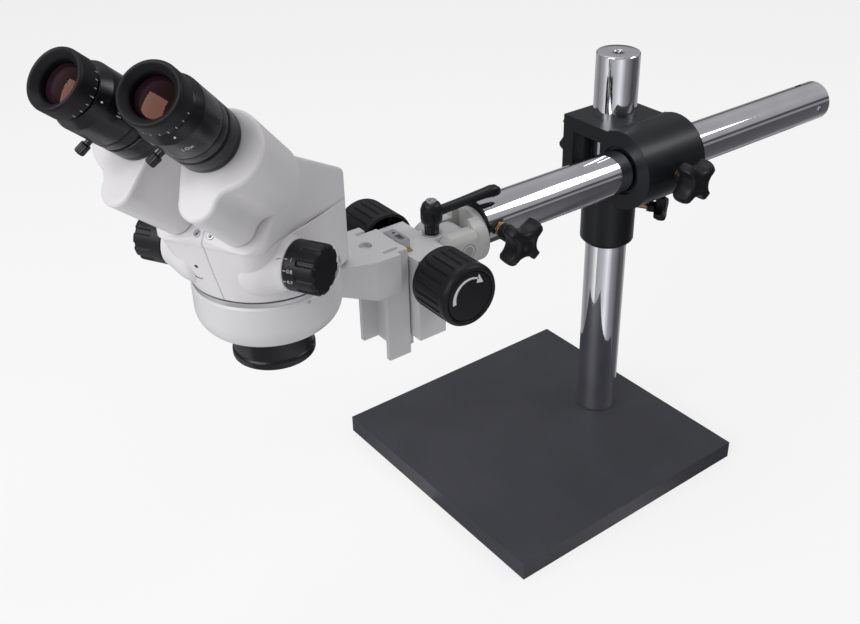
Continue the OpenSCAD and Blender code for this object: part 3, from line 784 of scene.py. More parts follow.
@dataclass
class StarKnob:
    """A clamp knob with four lobes and hollow sides.

    Args:
        name: Piece name.
        body: Body it turns with.
        node: CAD node it stands for.
        place: Matrix with +Z away from the clamped part.
        lobe_r: Radius of the lobes.
        neck_r: Radius of the neck.
        neck_h: Height of the neck.
        head_h: Thickness of the head.
        stud_r: Radius of the stud.
        stud_len: Length of the stud below the neck.
        spin: Turn of the lobes about the axis, in degrees.
    """

    name: str
    body: str
    node: str
    place: np.ndarray
    lobe_r: float
    neck_r: float
    neck_h: float
    head_h: float
    stud_r: float
    stud_len: float
    spin: float = 0.0

    def outline(self, angle: np.ndarray) -> np.ndarray:
        """Returns the head's radius.

        Four round cuts of 0.7 lobe radii stand 1.27 lobe radii out, between
        the lobes; a soft minimum of the cut's edge and the circle rounds the
        corners of the lobes.
        """
        off = np.pi / 4 - np.abs((angle + np.pi / 4) % (np.pi / 2) - np.pi / 4)
        inside = np.maximum(0.49 - (1.27 * np.sin(off)) ** 2, 0.0)
        cut = 1.27 * np.cos(off) - np.sqrt(inside)
        edge = np.arcsin(0.7 / 1.27)
        cut = np.where(off > edge, 1.27 * np.cos(edge) + 8.0 * (off - edge), cut)
        soft = 0.07
        return 0.995 * self.lobe_r * (-soft * np.log(np.exp(-1.03 / soft) + np.exp(-cut / soft)))

    def head(self) -> Shape:
        """Builds the head.

        Ring k lies at height h(k) and mixes a circle with the lobed outline:
        radius = (1 - m) c + m s R(angle), with m and s from the lists below.
        """
        rows = np.array([
            # height share, mix, scale, circle radius
            [0.00, 0.00, 0.0, self.neck_r], [0.02, 0.35, 0.75, self.neck_r],
            [0.10, 0.92, 0.93, self.neck_r], [0.22, 1.0, 0.985, self.neck_r],
            [0.40, 1.0, 1.0, self.neck_r], [0.66, 1.0, 0.985, self.neck_r],
            [0.82, 1.0, 0.94, self.neck_r], [0.92, 1.0, 0.86, self.neck_r],
            [0.97, 0.9, 0.74, 8.0], [0.985, 0.6, 0.60, 7.2],
            [0.99, 0.0, 0.0, self.lobe_r * 0.26], [0.965, 0.0, 0.0, self.lobe_r * 0.24],
            [0.965, 0.0, 0.0, self.lobe_r * 0.20], [0.985, 0.0, 0.0, self.lobe_r * 0.18],
            [0.99, 0.0, 0.0, 0.01]])
        angle = np.linspace(0, 2 * np.pi, 128, endpoint=False)
        lobed = self.outline(angle)[None, :]
        circle = np.minimum(rows[:, 3:4], self.lobe_r * 0.5)
        radius = (1 - rows[:, 1:2]) * circle + rows[:, 1:2] * rows[:, 2:3] * lobed
        height = (self.neck_h + rows[:, :1] * self.head_h) * np.ones_like(angle)
        return from_rings(np.stack([radius * np.cos(angle), radius * np.sin(angle), height], axis=-1))

    def build(self, shop: Shop) -> None:
        """Makes the knob and its brass stud."""
        place = self.place @ turn("Z", self.spin)
        neck = lathe([(0, 0), (self.neck_r * 0.86, 0), (self.neck_r, 1.0),
                      (self.neck_r * 0.94, self.neck_h), (0, self.neck_h + 0.4)], 0.5, 64)
        shop.piece(self.name, self.head().plus(neck).moved(place), KNOB_BLACK, self.body, [self.node],
                   sharp=50)
        collar = lathe([(0, -1.1), (self.stud_r + 2.2, -1.1), (self.stud_r + 2.2, 0.05), (0, 0.05)], 0.2, 6)
        stud = lathe([(0, -self.stud_len), (self.stud_r, -self.stud_len), (self.stud_r, 0.1), (0, 0.1)],
                     0.4, 48)
        shop.piece(self.name + "_stud", stud.plus(collar).moved(place), PLAIN_BRASS, self.body)


@dataclass
class FocusKnobs:
    """The two focus knobs with their cap and arrow.

    Args:
        x: Position along the boom.
        y: Centre plane.
        z: Height of the axis.
        r: Radius.
        length: Length of one knob.
        reach: Distance of an outer face from the centre plane.
        grips: Number of grooves round each knob.
    """

    x: float = -167.9
    y: float = -42.0
    z: float = 276.6
    r: float = 23.4
    length: float = 36.8
    reach: float = 68.6
    grips: int = 22

    def fluted(self, radius: np.ndarray, height: np.ndarray, angle: np.ndarray) -> np.ndarray:
        """Cuts long round-ended grooves.

        The radius loses 1.1 mm times a bump across the groove, times a window
        along it, on the outer wall only.
        """
        across = np.clip(np.cos(angle * self.grips), -0.2, 1.0)
        bump = smoothstep((across - 0.1) / 0.7)
        window = smoothstep((height - 5.5) / 2.5) * smoothstep((self.length - 3.5 - height) / 2.5)
        outer = smoothstep((radius - self.r + 1.2) / 0.8)
        return radius - 1.15 * bump * window * outer

    def knob(self) -> Shape:
        """Builds one knob, outer face at zero and open at the inner end."""
        r, end = self.r, self.length
        steps = np.linspace(6.0, end - 4.0, 12)
        wall = [(r, float(h)) for h in steps]
        profile = ([(0, 1.6), (r - 4.3, 1.6), (r - 4.2, 0.5), (r - 3.4, 0.0), (r - 1.9, 0.1), (r - 0.2, 2.6)]
                   + [(r, 4.5)] + wall
                   + [(r, end - 1.0), (r - 0.6, end), (r - 2.8, end), (r - 3.2, end - 1.5), (r - 3.4, 6.0),
                      (8, 5.2),
                      (7.2, end - 6), (6.6, end - 5), (0, end - 5)])
        return lathe(profile, 0.5, 352, self.fluted)

    def ribs(self) -> Shape:
        """Builds the six thin ribs inside the open end."""
        corners = np.array([[6.5, -0.8], [self.r - 3.1, -0.8], [self.r - 3.1, 0.8], [6.5, 0.8]])
        rib = slab(corners, 4.0, self.length - 6.5)
        return reduce(Shape.plus, [rib.moved(turn("Z", 60 * k)) for k in range(6)])

    def arrow(self) -> Shape:
        """Builds the curved arrow.

        Its centre line is an arc of 13.6 mm radius; the half width falls
        evenly from 1.5 mm at the tail to 0.6 mm at the head's root.
        """
        reach = 13.6
        sweep = np.radians(np.linspace(178, 46, 40))
        half = np.linspace(1.5, 0.6, 40)
        flat = np.zeros(40)
        inner = np.column_stack([(reach - half) * np.cos(sweep), (reach - half) * np.sin(sweep), flat])
        outer = np.column_stack([(reach + half) * np.cos(sweep), (reach + half) * np.sin(sweep), flat])
        band = from_rings(np.stack([outer, inner]), wrap=False, caps=False)
        bearing = np.radians([52.0, 22.0, 46.0])
        distance = np.array([17.0, 13.6, 10.2])
        barbs = np.column_stack([distance * np.cos(bearing), distance * np.sin(bearing), np.zeros(3)])
        return band.plus(Shape(barbs, [[0, 1, 2]]))

    def build(self, shop: Shop) -> None:
        """Makes both knobs, the cap and the arrow."""
        near = move(self.x, self.y - self.reach, self.z) @ turn("X", -90)
        far = move(self.x, self.y + self.reach, self.z) @ turn("X", 90)
        body = self.knob().plus(self.ribs())
        shop.piece("focus_grip_near", body.moved(near), KNOB_BLACK, "focus_knobs", ["focus_knob_near"])
        shop.piece("focus_grip_far", body.moved(far), KNOB_BLACK, "focus_knobs", ["focus_knob_far"])
        cap = lathe([(0, 1.65), (self.r - 4.9, 1.65), (self.r - 4.9, 1.0), (self.r - 5.4, 0.8), (0, 0.8)],
                    0.2, 128)
        shop.piece("tension_disc", cap.moved(near), KNOB_BLACK, "focus_knobs", ["tension_cap"])
        mark = near @ move(0, 0, 0.76) @ turn("X", 180) @ turn("Z", 12)
        shop.piece("tension_arrow", self.arrow().moved(mark), MARK_WHITE, "focus_knobs")


# ---------------------------------------------------------------------------
# Stand


@dataclass
class Stand:
    """Base, post, boom, collar, clamp and their knobs.

    Args:
        post_x: Position of the post.
        post_r: Radius of the post.
        post_low: Height of the post's foot.
        post_top: Height of the post's top.
        boom_y: Side offset of the boom.
        boom_z: Height of the boom.
    """

    post_x: float = 76.8
    post_r: float = 18.5
    post_low: float = 16.4
    post_top: float = 370.6
    boom_y: float = -42.0
    boom_z: float = 287.3

    def off_boom(self, x: float, down: float, out: float) -> np.ndarray:
        """Returns the place on the boom's near side, turned down by an angle, at a distance from its axis."""
        return move(x, self.boom_y, self.boom_z) @ turn("X", 90 + down) @ move(0, 0, out)

    def build(self, shop: Shop) -> None:
        """Makes the stand."""
        shop.dress(BASE_CHARCOAL, "base_plate")
        shop.dress(CUP_RUBBER, "base_feet", "spacer_ring")
        shop.dress(PLAIN_STEEL, "post_bolt", "post_washer", "boom_key_screw", "boom_stop_screw")
        shop.dress(CHROME, "boom")
        shop.dress(CLAMP_BLACK, "clamp_block")
        low, top, r = self.post_low, self.post_top, self.post_r
        post = lathe([(0, low + 31), (5, low + 31), (5, low), (r - 0.5, low), (r, low + 0.5),
                      (r, top - 0.9), (r - 0.9, top), (4.6, top), (3.6, top - 1.0), (3.6, top - 14),
                      (0, top - 15)], 0.25, 160)
        shop.piece("post_column", post.moved(move(self.post_x, 0, 0)), POST_CHROME, "stand", ["post"],
                   sharp=30)
        tube = lathe([(r + 0.05, 196.0), (20.4, 196.0), (24.0, 199.6), (24.0, 252.6), (23.2, 253.4),
                      (r + 0.05, 253.4)], 0.7, 128, loop=True)
        shop.piece("collar_sleeve", tube.moved(move(self.post_x, 0, 0)), CLAMP_BLACK, "collar",
                   ["safety_collar"])
        StarKnob("boom_clamp_star", "boom_lock", "boom_lock_knob", self.off_boom(self.post_x, 2, 36.0),
                 20, 8, 5.5, 18, 4, 17.5, 38).build(shop)
        StarKnob("post_clamp_star", "post_lock", "post_lock_knob",
                 move(self.post_x, 28.3, 285) @ turn("X", -90), 20, 8, 5, 18, 4, 9.4, 55).build(shop)
        StarKnob("head_clamp_star", "head_lock", "head_lock_knob", self.off_boom(-98, 5, 19.5),
                 19, 7, 12.5, 16, 4, 6.6, 42).build(shop)
        at = move(self.post_x, 0, 235) @ turn("Z", -60) @ turn("Y", 90) @ move(0, 0, 36)
        StarKnob("collar_star", "collar_knob", "collar_knob", at, 13, 5, 6, 10, 3, 17, 15).build(shop)


# ---------------------------------------------------------------------------
# Focus arm


@dataclass
class FocusArm:
    """Knuckle, focus housing, slide, support ring and clamp lever.

    Args:
        lever_x: Position of the clamp lever's screw.
        boom_y: Centre plane.
        lever_turn: Turn of the handle about its screw, in degrees.
        foot_z: Height of the lever's foot.
    """

    lever_x: float = -149.5
    boom_y: float = -42.0
    lever_turn: float = -8.0
    foot_z: float = 293.4

    def handle(self) -> Shape:
        """Builds the handle.

        Its sections are ellipses along a path that rises from the hub; the
        last ones drop and shrink to make the hooked tip.
        """
        along = np.array([2.0, 7, 14, 24, 34, 44, 50, 54, 57.0, 58.2])
        height = np.array([307.6, 308.4, 309.4, 310.6, 311.8, 313.0, 313.3, 312.9, 312.3, 311.8])
        half_y = np.array([3.2, 3.3, 3.5, 3.9, 4.2, 4.4, 4.3, 3.9, 2.6, 0.6])
        half_z = np.array([4.2, 3.7, 3.4, 3.3, 3.4, 3.7, 4.6, 4.6, 3.0, 0.6])
        angle = np.linspace(0, 2 * np.pi, 48, endpoint=False)
        y = half_y[:, None] * np.sign(np.cos(angle)) * np.abs(np.cos(angle)) ** 0.75
        z = height[:, None] + half_z[:, None] * np.sign(np.sin(angle)) * np.abs(np.sin(angle)) ** 0.85
        x = along[:, None] * np.ones_like(angle)
        return from_rings(np.stack([x, y, z], axis=-1))

    def hub_grip(self, radius: np.ndarray, height: np.ndarray, angle: np.ndarray) -> np.ndarray:
        """Cuts teeth in the hub's lower neck: its radius dips with the cosine of 12 times the angle."""
        window = smoothstep((302 - height) / 1.0) * smoothstep((radius - 4.0) / 0.5)
        return radius - 0.35 * window * (0.5 + 0.5 * np.cos(12 * angle))

    def build(self, shop: Shop) -> None:
        """Makes the arm's pieces."""
        shop.dress(ARM_GREY, "focus_housing", "slider", "ring_arm")
        shop.dress(KNUCKLE_GREY, "knuckle")
        shop.dress(MACHINED, "tilt_pin")
        shop.dress(PLAIN_STEEL, "lever_screw", "lever_washer", "pinion_shaft", "dovetail_bar", "arm_screws")
        shop.dress(PLAIN_BRASS, "gib_strip", "focus_rack")
        shop.dress(KNOB_BLACK, "ring_lock_screw")
        place = move(self.lever_x, self.boom_y, 0)
        z = self.foot_z
        hub = lathe([(3.0, z), (5.4, z), (5.6, z + 6.0), (7.6, z + 8.5), (8.0, z + 11), (8.0, z + 18.0),
                     (6.6, z + 22.0), (5.4, z + 23.2), (4.0, z + 23.2), (4.0, z + 22.4), (3.0, z + 22.3)],
                    0.6, 96, self.hub_grip, loop=True)
        lever = hub.plus(self.handle().moved(turn("Z", self.lever_turn)))
        shop.piece("clamp_handle", lever.moved(place), CLAMP_BLACK, "lever", ["clamp_lever"], sharp=45)
        FocusKnobs().build(shop)
        pin = move(-132.0, -63.0, 279.0) @ turn("X", 90)
        # Painted shade: a thin dark ring stands for the shade in the gap round the tilt pin.
        gap = lathe([(5.9, -0.4), (6.25, -0.4), (6.25, 0.05), (5.9, 0.05)], 0.02, 64, loop=True)
        shop.piece("pin_gap", gap.moved(pin), PAINTED_SHADE_AND_PRINT_DARK, "knuckle")


# ---------------------------------------------------------------------------
# Head


@dataclass
class Head:
    """The zoom body, its covers, knobs and objective.

    Args:
        axis_x: Position of the swivel axis.
        axis_y: Centre plane.
        yaw: Turn of the head in its ring.
        back: Rear wall.
        front: Front wall at the ridge.
        half: Half width.
        low: Height of the lower rim.
        seam_z: Height of the seam at the rear.
        seam_rise: Slope of the seam, in degrees.
        top_z: Height of the top's rear edge.
        top_slope: Slope of the top, in degrees.
        eye_f: Forward position of the eyepiece tubes' roots.
        eye_half: Their distance from the middle.
        eye_z: Their height.
        eye_tilt: Rise of their axes.
        eye_splay: Outward splay of their axes.
        zoom_f: Forward position of the zoom shaft.
        zoom_z: Its height.
        knob_r: Radius of the zoom knobs.
        depth: Depth of a prism housing along its axis.
        gap: Gap between the deck and the prism housings.
        parting: Distance of each half of the covers from the middle line.
        columns: Points along the plan of one half.
        place: Matrix of the head's own frame, worked out from the axis and yaw.
    """

    axis_x: float = -284.0
    axis_y: float = -42.0
    yaw: float = 29.5
    back: float = -46.0
    front: float = 62.0
    half: float = 38.5
    low: float = 311.2
    seam_z: float = 348.0
    seam_rise: float = 6.0
    top_z: float = 367.5
    top_slope: float = 29.0
    eye_f: float = 72.6
    eye_half: float = 21.7
    eye_z: float = 431.5
    eye_tilt: float = 41.0
    eye_splay: float = 5.7
    zoom_f: float = 32.0
    zoom_z: float = 338.0
    knob_r: float = 16.0
    depth: float = 56.0
    gap: float = 0.5
    parting: float = 0.24
    columns: int = 240
    place: np.ndarray = field(init=False)

    def __post_init__(self) -> None:
        """Works out the head's place: +X to the user, +Y to the near side."""
        self.place = move(self.axis_x, self.axis_y, 0) @ turn("Z", 180 + self.yaw)

    def eye_place(self, side: Side) -> np.ndarray:
        """Returns the place of one eyepiece: +Z towards the eye, +X down the slope."""
        root = move(self.eye_f, side.value * self.eye_half, self.eye_z)
        return self.place @ root @ turn("Y", 90 - self.eye_tilt) @ turn("X", -side.value * self.eye_splay)

    def plan(self) -> np.ndarray:
        """Returns the near half of the plan at the ridge.

        A rounded rectangle from the front's middle round to the rear's
        middle, with 14 mm corners in front and 6 mm behind, evenly spaced
        along its length.
        """
        f, b, h = self.front, self.back, self.half
        quarter = np.linspace(0, np.pi / 2, 30)
        front = np.stack([f - 14 + 14 * np.cos(quarter), h - 14 + 14 * np.sin(quarter)], axis=-1)
        rear = np.stack([b + 6 - 6 * np.sin(quarter), h - 6 + 6 * np.cos(quarter)], axis=-1)
        return evenly(np.vstack([[[f, 0.0]], front, rear, [[b, 0.0]]]), self.columns)

    def seam(self, forward: np.ndarray) -> np.ndarray:
        """Returns the seam's height, which rises evenly and dips by 3.4 mm under the deck's front edge."""
        dip = 3.4 * smoothstep((forward - 46.0) / 12.0)
        return self.seam_z + (forward - self.back) * np.tan(np.radians(self.seam_rise)) - dip

    def slit(self, forward: np.ndarray) -> np.ndarray:
        """Returns half of the seam's width, which closes towards the front."""
        return 0.18 * smoothstep((34.0 - forward) / 12.0)

    def lower_half(self) -> Shape:
        """Builds the near half of the lower cover.

        Along each direction from the swivel axis the radius goes from a
        circle of 47.5 mm at the rim, or the rear corner's where that is
        further, to the plan at the ridge; the share follows the height.
        """
        plan = self.plan()
        far_r = np.hypot(plan[:, 0], plan[:, 1])
        unit = plan / far_r[:, None]
        corner = smoothstep((-10 - plan[:, 0]) / 8)
        rim_r = np.maximum(47.3, corner * far_r)
        over = smoothstep((rim_r - 49.0) / 1.2)
        bottom = self.low - 8.4 * over
        rise = np.linspace(0, 1, 40)[:, None]
        top = self.seam(plan[:, 0])
        height = bottom + rise * (top - bottom - self.slit(plan[:, 0]))
        share = np.clip((height - self.low) / (361 - self.low), 0, 1)
        share = 0.5 * share + 0.5 * (1 - (1 - share) ** 1.35)
        radius = rim_r + (far_r - rim_r) * share
        turned_in = 1.1 * np.clip(1 - (height - bottom) / 1.4, 0, 1) ** 2
        radius = radius - turned_in
        rings = np.stack([radius * unit[:, 0], radius * unit[:, 1] + self.parting, height], axis=-1)
        return from_rings(rings, wrap=False, caps=False)

    def roof(self, forward: np.ndarray, across: np.ndarray) -> np.ndarray:
        """Returns the top's height.

        The lower of the deck, which lies square to the near eyepiece's axis
        just behind its prism housing, and of the sloping back; a soft minimum
        rounds the crest.
        """
        tilt, splay = np.radians(self.eye_tilt), np.radians(self.eye_splay)
        axis = np.array([np.cos(tilt) * np.cos(splay), np.sin(splay), np.sin(tilt) * np.cos(splay)])
        root = np.array([self.eye_f, self.eye_half, self.eye_z]) - axis * (self.depth + self.gap)
        deck = root[2] - (axis[0] * (forward - root[0]) + axis[1] * (np.abs(across) - root[1])) / axis[2]
        back = self.top_z + (forward - self.back) * np.tan(np.radians(self.top_slope))
        soft = 1.2
        return -soft * np.log(np.exp(-(deck - 380) / soft) + np.exp(-(back - 380) / soft)) + 380

    def upper_half(self) -> Shape:
        """Builds the near half of the upper cover.

        The wall rises on the plan from the seam to the roof; inside it the
        plan shrinks towards a point on the middle line and lies on the roof,
        and a fillet of 3.5 mm joins the two.
        """
        plan = self.plan()
        low = self.seam(plan[:, 0]) + self.slit(plan[:, 0])
        heart = np.array([18.0, 0.0])
        away = plan - heart
        reach = np.linalg.norm(away, axis=1)
        fillet = 3.5
        edge = np.maximum(self.roof(plan[:, 0], plan[:, 1]), low + 0.2)
        room = np.clip((edge - low) / (2 * fillet), 0.06, 1.0) * fillet
        rise = np.linspace(0, 1, 10)[:, None]
        wall_z = low + rise * np.maximum(edge - room - low, 0.05)
        wall = np.stack([plan[:, 0] + 0 * rise, plan[:, 1] + 0 * rise, wall_z], axis=-1)
        bend = np.radians(np.linspace(10, 90, 7))[:, None]
        inset = room * (1 - np.cos(bend))
        drop = room * (1 - np.sin(bend))
        ratio = 1 - inset / reach
        fx = heart[0] + away[:, 0] * ratio
        ly = heart[1] + away[:, 1] * ratio
        lip = np.stack([fx, ly, np.maximum(self.roof(fx, ly), low + 0.2) - drop], axis=-1)
        last = 1 - room / reach
        shrink = last * np.linspace(1, 0, 26)[1:, None]
        fx = heart[0] + away[:, 0] * shrink
        ly = heart[1] + away[:, 1] * shrink
        top = np.stack([fx, ly, np.maximum(self.roof(fx, ly), self.seam(fx) + 0.35)], axis=-1)
        rings = np.concatenate([wall, lip, top])
        rings[..., 1] += self.parting
        return from_rings(rings, wrap=False, caps=False)

    def boss(self, side: Side) -> Shape:
        """Builds the cone from the body's side to a zoom knob, with a flared root."""
        outer = [(17.0, 12.5), (21.9, 15.4), (23.6, 19.5), (22.9, 26.0), (21.6, 30.0), (19.4, 34.6),
                 (17.4, 38.8),
                 (16.2, 42.3), (15.6, 42.8)]
        inner = [(4.6, 42.8), (4.6, 40.6), (14.2, 40.6), (20.6, 25.0), (21.2, 19.0)]
        cone = lathe([(15.0, 12.5)] + outer + inner, 1.2, 160, loop=True)
        return cone.moved(move(self.zoom_f, 0, self.zoom_z) @ turn("X", -90 * side.value))

    def zoom_grip(self, radius: np.ndarray, height: np.ndarray, angle: np.ndarray) -> np.ndarray:
        """Cuts ten round-ended grooves in the knob's outer half, 1.1 mm deep."""
        across = smoothstep((np.cos(10 * angle) - 0.15) / 0.55)
        window = smoothstep((height - 8.0) / 0.9)
        outer = smoothstep((radius - 12.5) / 1.5)
        return radius - 1.15 * across * window * outer

    def zoom_knob(self) -> Shape:
        """Builds a zoom knob with its inner face at zero."""
        wall = [(self.knob_r, float(h)) for h in np.linspace(1.0, 19.2, 22)]
        line = [(4.1, 0), (15.5, 0)] + wall + [(15.6, 20.2), (14.6, 20.9), (0, 21.0)]
        return lathe(line, 0.25, 320, self.zoom_grip)

    def zoom_marks(self) -> Shape:
        """Builds the scale on the knob's inner band: ticks and the numbers 0.7 to 1."""
        pitch = 7.2
        marks = []
        for k, word in enumerate(("1", "0.8", "0.7")):
            digits = lettering(word, 2.3)
            digits.points[:, :2] = digits.points[:, :2] @ np.array([[0.0, 1.0], [-1.0, 0.0]])
            digits.points[:, 1] += 5.2
            digits.points[:, 0] += pitch * (k - 1)
            marks.append(tile(0.4, 2.0, 0.05, pitch * (k - 1), 1.6).plus(digits))
        out = reduce(Shape.plus, marks)
        out.points = on_drum(out.points, self.knob_r)
        return out

    def mirrored(self, shape: Shape) -> Shape:
        """Returns the shape mirrored to the far side."""
        return Shape(shape.points * np.array([1.0, -1.0, 1.0]), shape.faces)

    def build(self, shop: Shop) -> None:
        """Makes the head's pieces."""
        shop.dress(MACHINED, "optics_frame", "zoom_carriage", "guide_rods")
        shop.dress(PLAIN_STEEL, "zoom_shaft")
        shop.dress(EYE_BLACK, "lens_cells")
        shop.dress(OBJECTIVE_LENS, "objective_glass", "prism_near", "prism_far")
        lower, upper = self.lower_half(), self.upper_half()
        for side in Side:
            tag = side.name.lower()
            low = lower if side is Side.NEAR else self.mirrored(lower)
            up = upper if side is Side.NEAR else self.mirrored(upper)
            made = shop.piece(f"lower_shell_{tag}", low.moved(self.place), HEAD_WHITE, "head",
                              [f"lower_cover_{tag}"],
                              wall=2.0, sharp=60)
            self.face_out(made)
            made = shop.piece(f"upper_shell_{tag}", up.moved(self.place), HEAD_WHITE, "head",
                              [f"upper_cover_{tag}"],
                              wall=2.0, sharp=60)
            self.face_out(made)
            shop.piece(f"zoom_boss_{tag}", self.boss(side).moved(self.place), HEAD_WHITE, "head", sharp=60)
            out = move(self.zoom_f, side.value * 43.0, self.zoom_z) @ turn("X", -90 * side.value)
            shop.piece(f"zoom_grip_{tag}", self.zoom_knob().moved(self.place @ out), KNOB_BLACK, "zoom",
                       [f"zoom_knob_{tag}"])
            spin = turn("Z", -14 if side is Side.NEAR else 130)
            shop.piece(f"zoom_scale_{tag}", self.zoom_marks().moved(self.place @ out @ spin), MARK_WHITE,
                       "zoom")
        ring = lathe([(44.0, 310.0), (46.2, 310.0), (46.2, 312.4), (44.0, 312.4)], 0.1, 160, loop=True)
        shop.piece("rim_shadow", ring.moved(self.place), PAINTED_SHADE_AND_PRINT_DARK, "head")
        nose = lathe([(22.0, 254.8), (24.0, 254.6), (24.2, 249.0), (26.6, 248.0), (27.6, 248.2),
                      (27.9, 249.0), (27.9, 252.6), (27.3, 253.6), (26.6, 254.0), (26.9, 255.2),
                      (26.9, 273.7), (25.0, 273.9), (25.0, 280.7), (22.2, 280.7)],
                     0.35, 160, self.nose_ribs, loop=True)
        shop.piece("objective_nose", nose.moved(self.place), EYE_BLACK, "head", ["objective_ring"])
        self.details(shop)

    def outside(self, bearing: float, height: float) -> tuple[np.ndarray, np.ndarray]:
        """Returns a point 120 mm out from the swivel axis, and the direction back to the axis."""
        a = np.radians(bearing)
        out = self.place @ np.array([120 * np.cos(a), 120 * np.sin(a), height, 1.0])
        towards = self.place[:3, :3] @ np.array([-np.cos(a), -np.sin(a), 0.0])
        return out[:3], towards

    def details(self, shop: Shop) -> None:
        """Makes the lock hole as a dot of painted shade and its arc, the zoom index, the screws' sockets with
        painted shade in them, and the set screws' holes as dots of painted shade.
        """
        far_shell = bpy.data.objects["lower_shell_far"]
        # Painted shade: a dark dot stands for the shade inside the lock hole.
        hole = seat_on(far_shell, *self.outside(-11.8, 337.6))
        shop.piece("lock_hole", dot(1.3).moved(hole), PAINTED_SHADE_AND_PRINT_DARK, "head")
        arc = seat_on(far_shell, *self.outside(-14.0, 331.4))
        shop.piece("lock_arc", arc_mark(4.4, 200, 320, 0.34).moved(arc), PAINTED_SHADE_AND_PRINT_DARK, "head")
        deck = self.place[:3, :3] @ np.array([-0.75, 0.0, -0.66])
        for side in Side:
            tag = side.name.lower()
            above = self.place @ np.array([59.2, side.value * 4.6, 363.0, 1.0])
            seat = seat_on(bpy.data.objects[f"upper_shell_{tag}"], above[:3] - 20 * deck, deck)
            rim = lathe([(0, -2.0), (2.4, -2.0), (2.4, 0.3), (2.0, 0.6), (1.2, 0.6), (1.2, 0.1), (0, 0.1)],
                        0.1, 48)
            shop.piece(f"deck_screw_{tag}", rim.moved(seat), PLAIN_STEEL, "head",
                       ["cover_screws"] if side is Side.NEAR else [])
            shop.piece(f"screw_socket_{tag}", dot(0.95, 0.1).moved(seat), SOCKET_BROWN, "head")
        boss = bpy.data.objects["zoom_boss_near"]
        bearing = np.radians(-37.0)
        index = self.place @ np.array([32 + 40 * np.cos(bearing), 40.4, 338 - 40 * np.sin(bearing), 1.0])
        inward = self.place[:3, :3] @ np.array([-np.cos(bearing), 0.0, np.sin(bearing)])
        seat = seat_on(boss, index[:3], inward)
        shop.piece("zoom_index", tile(3.0, 0.35, 0.05).moved(seat @ turn("Z", 8)), PAINTED_SHADE_AND_PRINT_DARK, "head")
        ring = seat_on(shop.frame["nodes"]["ring_arm"], *self.outside(64.0, 305.6))
        shop.piece("ring_set_screw", dot(1.2, 0.08).moved(ring), PLAIN_STEEL, "focus_slide")
        # Painted shade: a dark dot on each zoom knob stands for the shade inside its set-screw hole.
        for side, turned, height in ((Side.NEAR, 12.0, 10.7), (Side.FAR, 10.0, 12.7)):
            out = move(self.zoom_f, side.value * 43.0, self.zoom_z) @ turn("X", -90 * side.value)
            seat = self.place @ out @ turn("Z", turned) @ move(14.9, 0, height) @ turn("Y", 90)
            shop.piece(f"zoom_set_screw_{side.name.lower()}", dot(1.3, 0.03).moved(seat), PAINTED_SHADE_AND_PRINT_DARK, "zoom")

    def nose_ribs(self, radius: np.ndarray, height: np.ndarray, angle: np.ndarray) -> np.ndarray:
        """Knurls the flared rim finely: its radius dips with the cosine of 80 times the angle."""
        window = smoothstep((radius - 27.0) / 0.5)
        return radius - 0.12 * window * (0.5 + 0.5 * np.cos(80 * angle))

    def face_out(self, made: bpy.types.Object) -> None:
        """Turns an open shell's faces away from the swivel axis, so that its wall grows inwards."""
        mesh = made.data
        count = len(mesh.polygons)
        centre, normal = np.empty(count * 3), np.empty(count * 3)
        mesh.polygons.foreach_get("center", centre)
        mesh.polygons.foreach_get("normal", normal)
        away = centre.reshape(-1, 3) - np.array([self.axis_x, self.axis_y, 335.0]) * MM
        if np.sum(away * normal.reshape(-1, 3)) < 0:
            mesh.flip_normals()


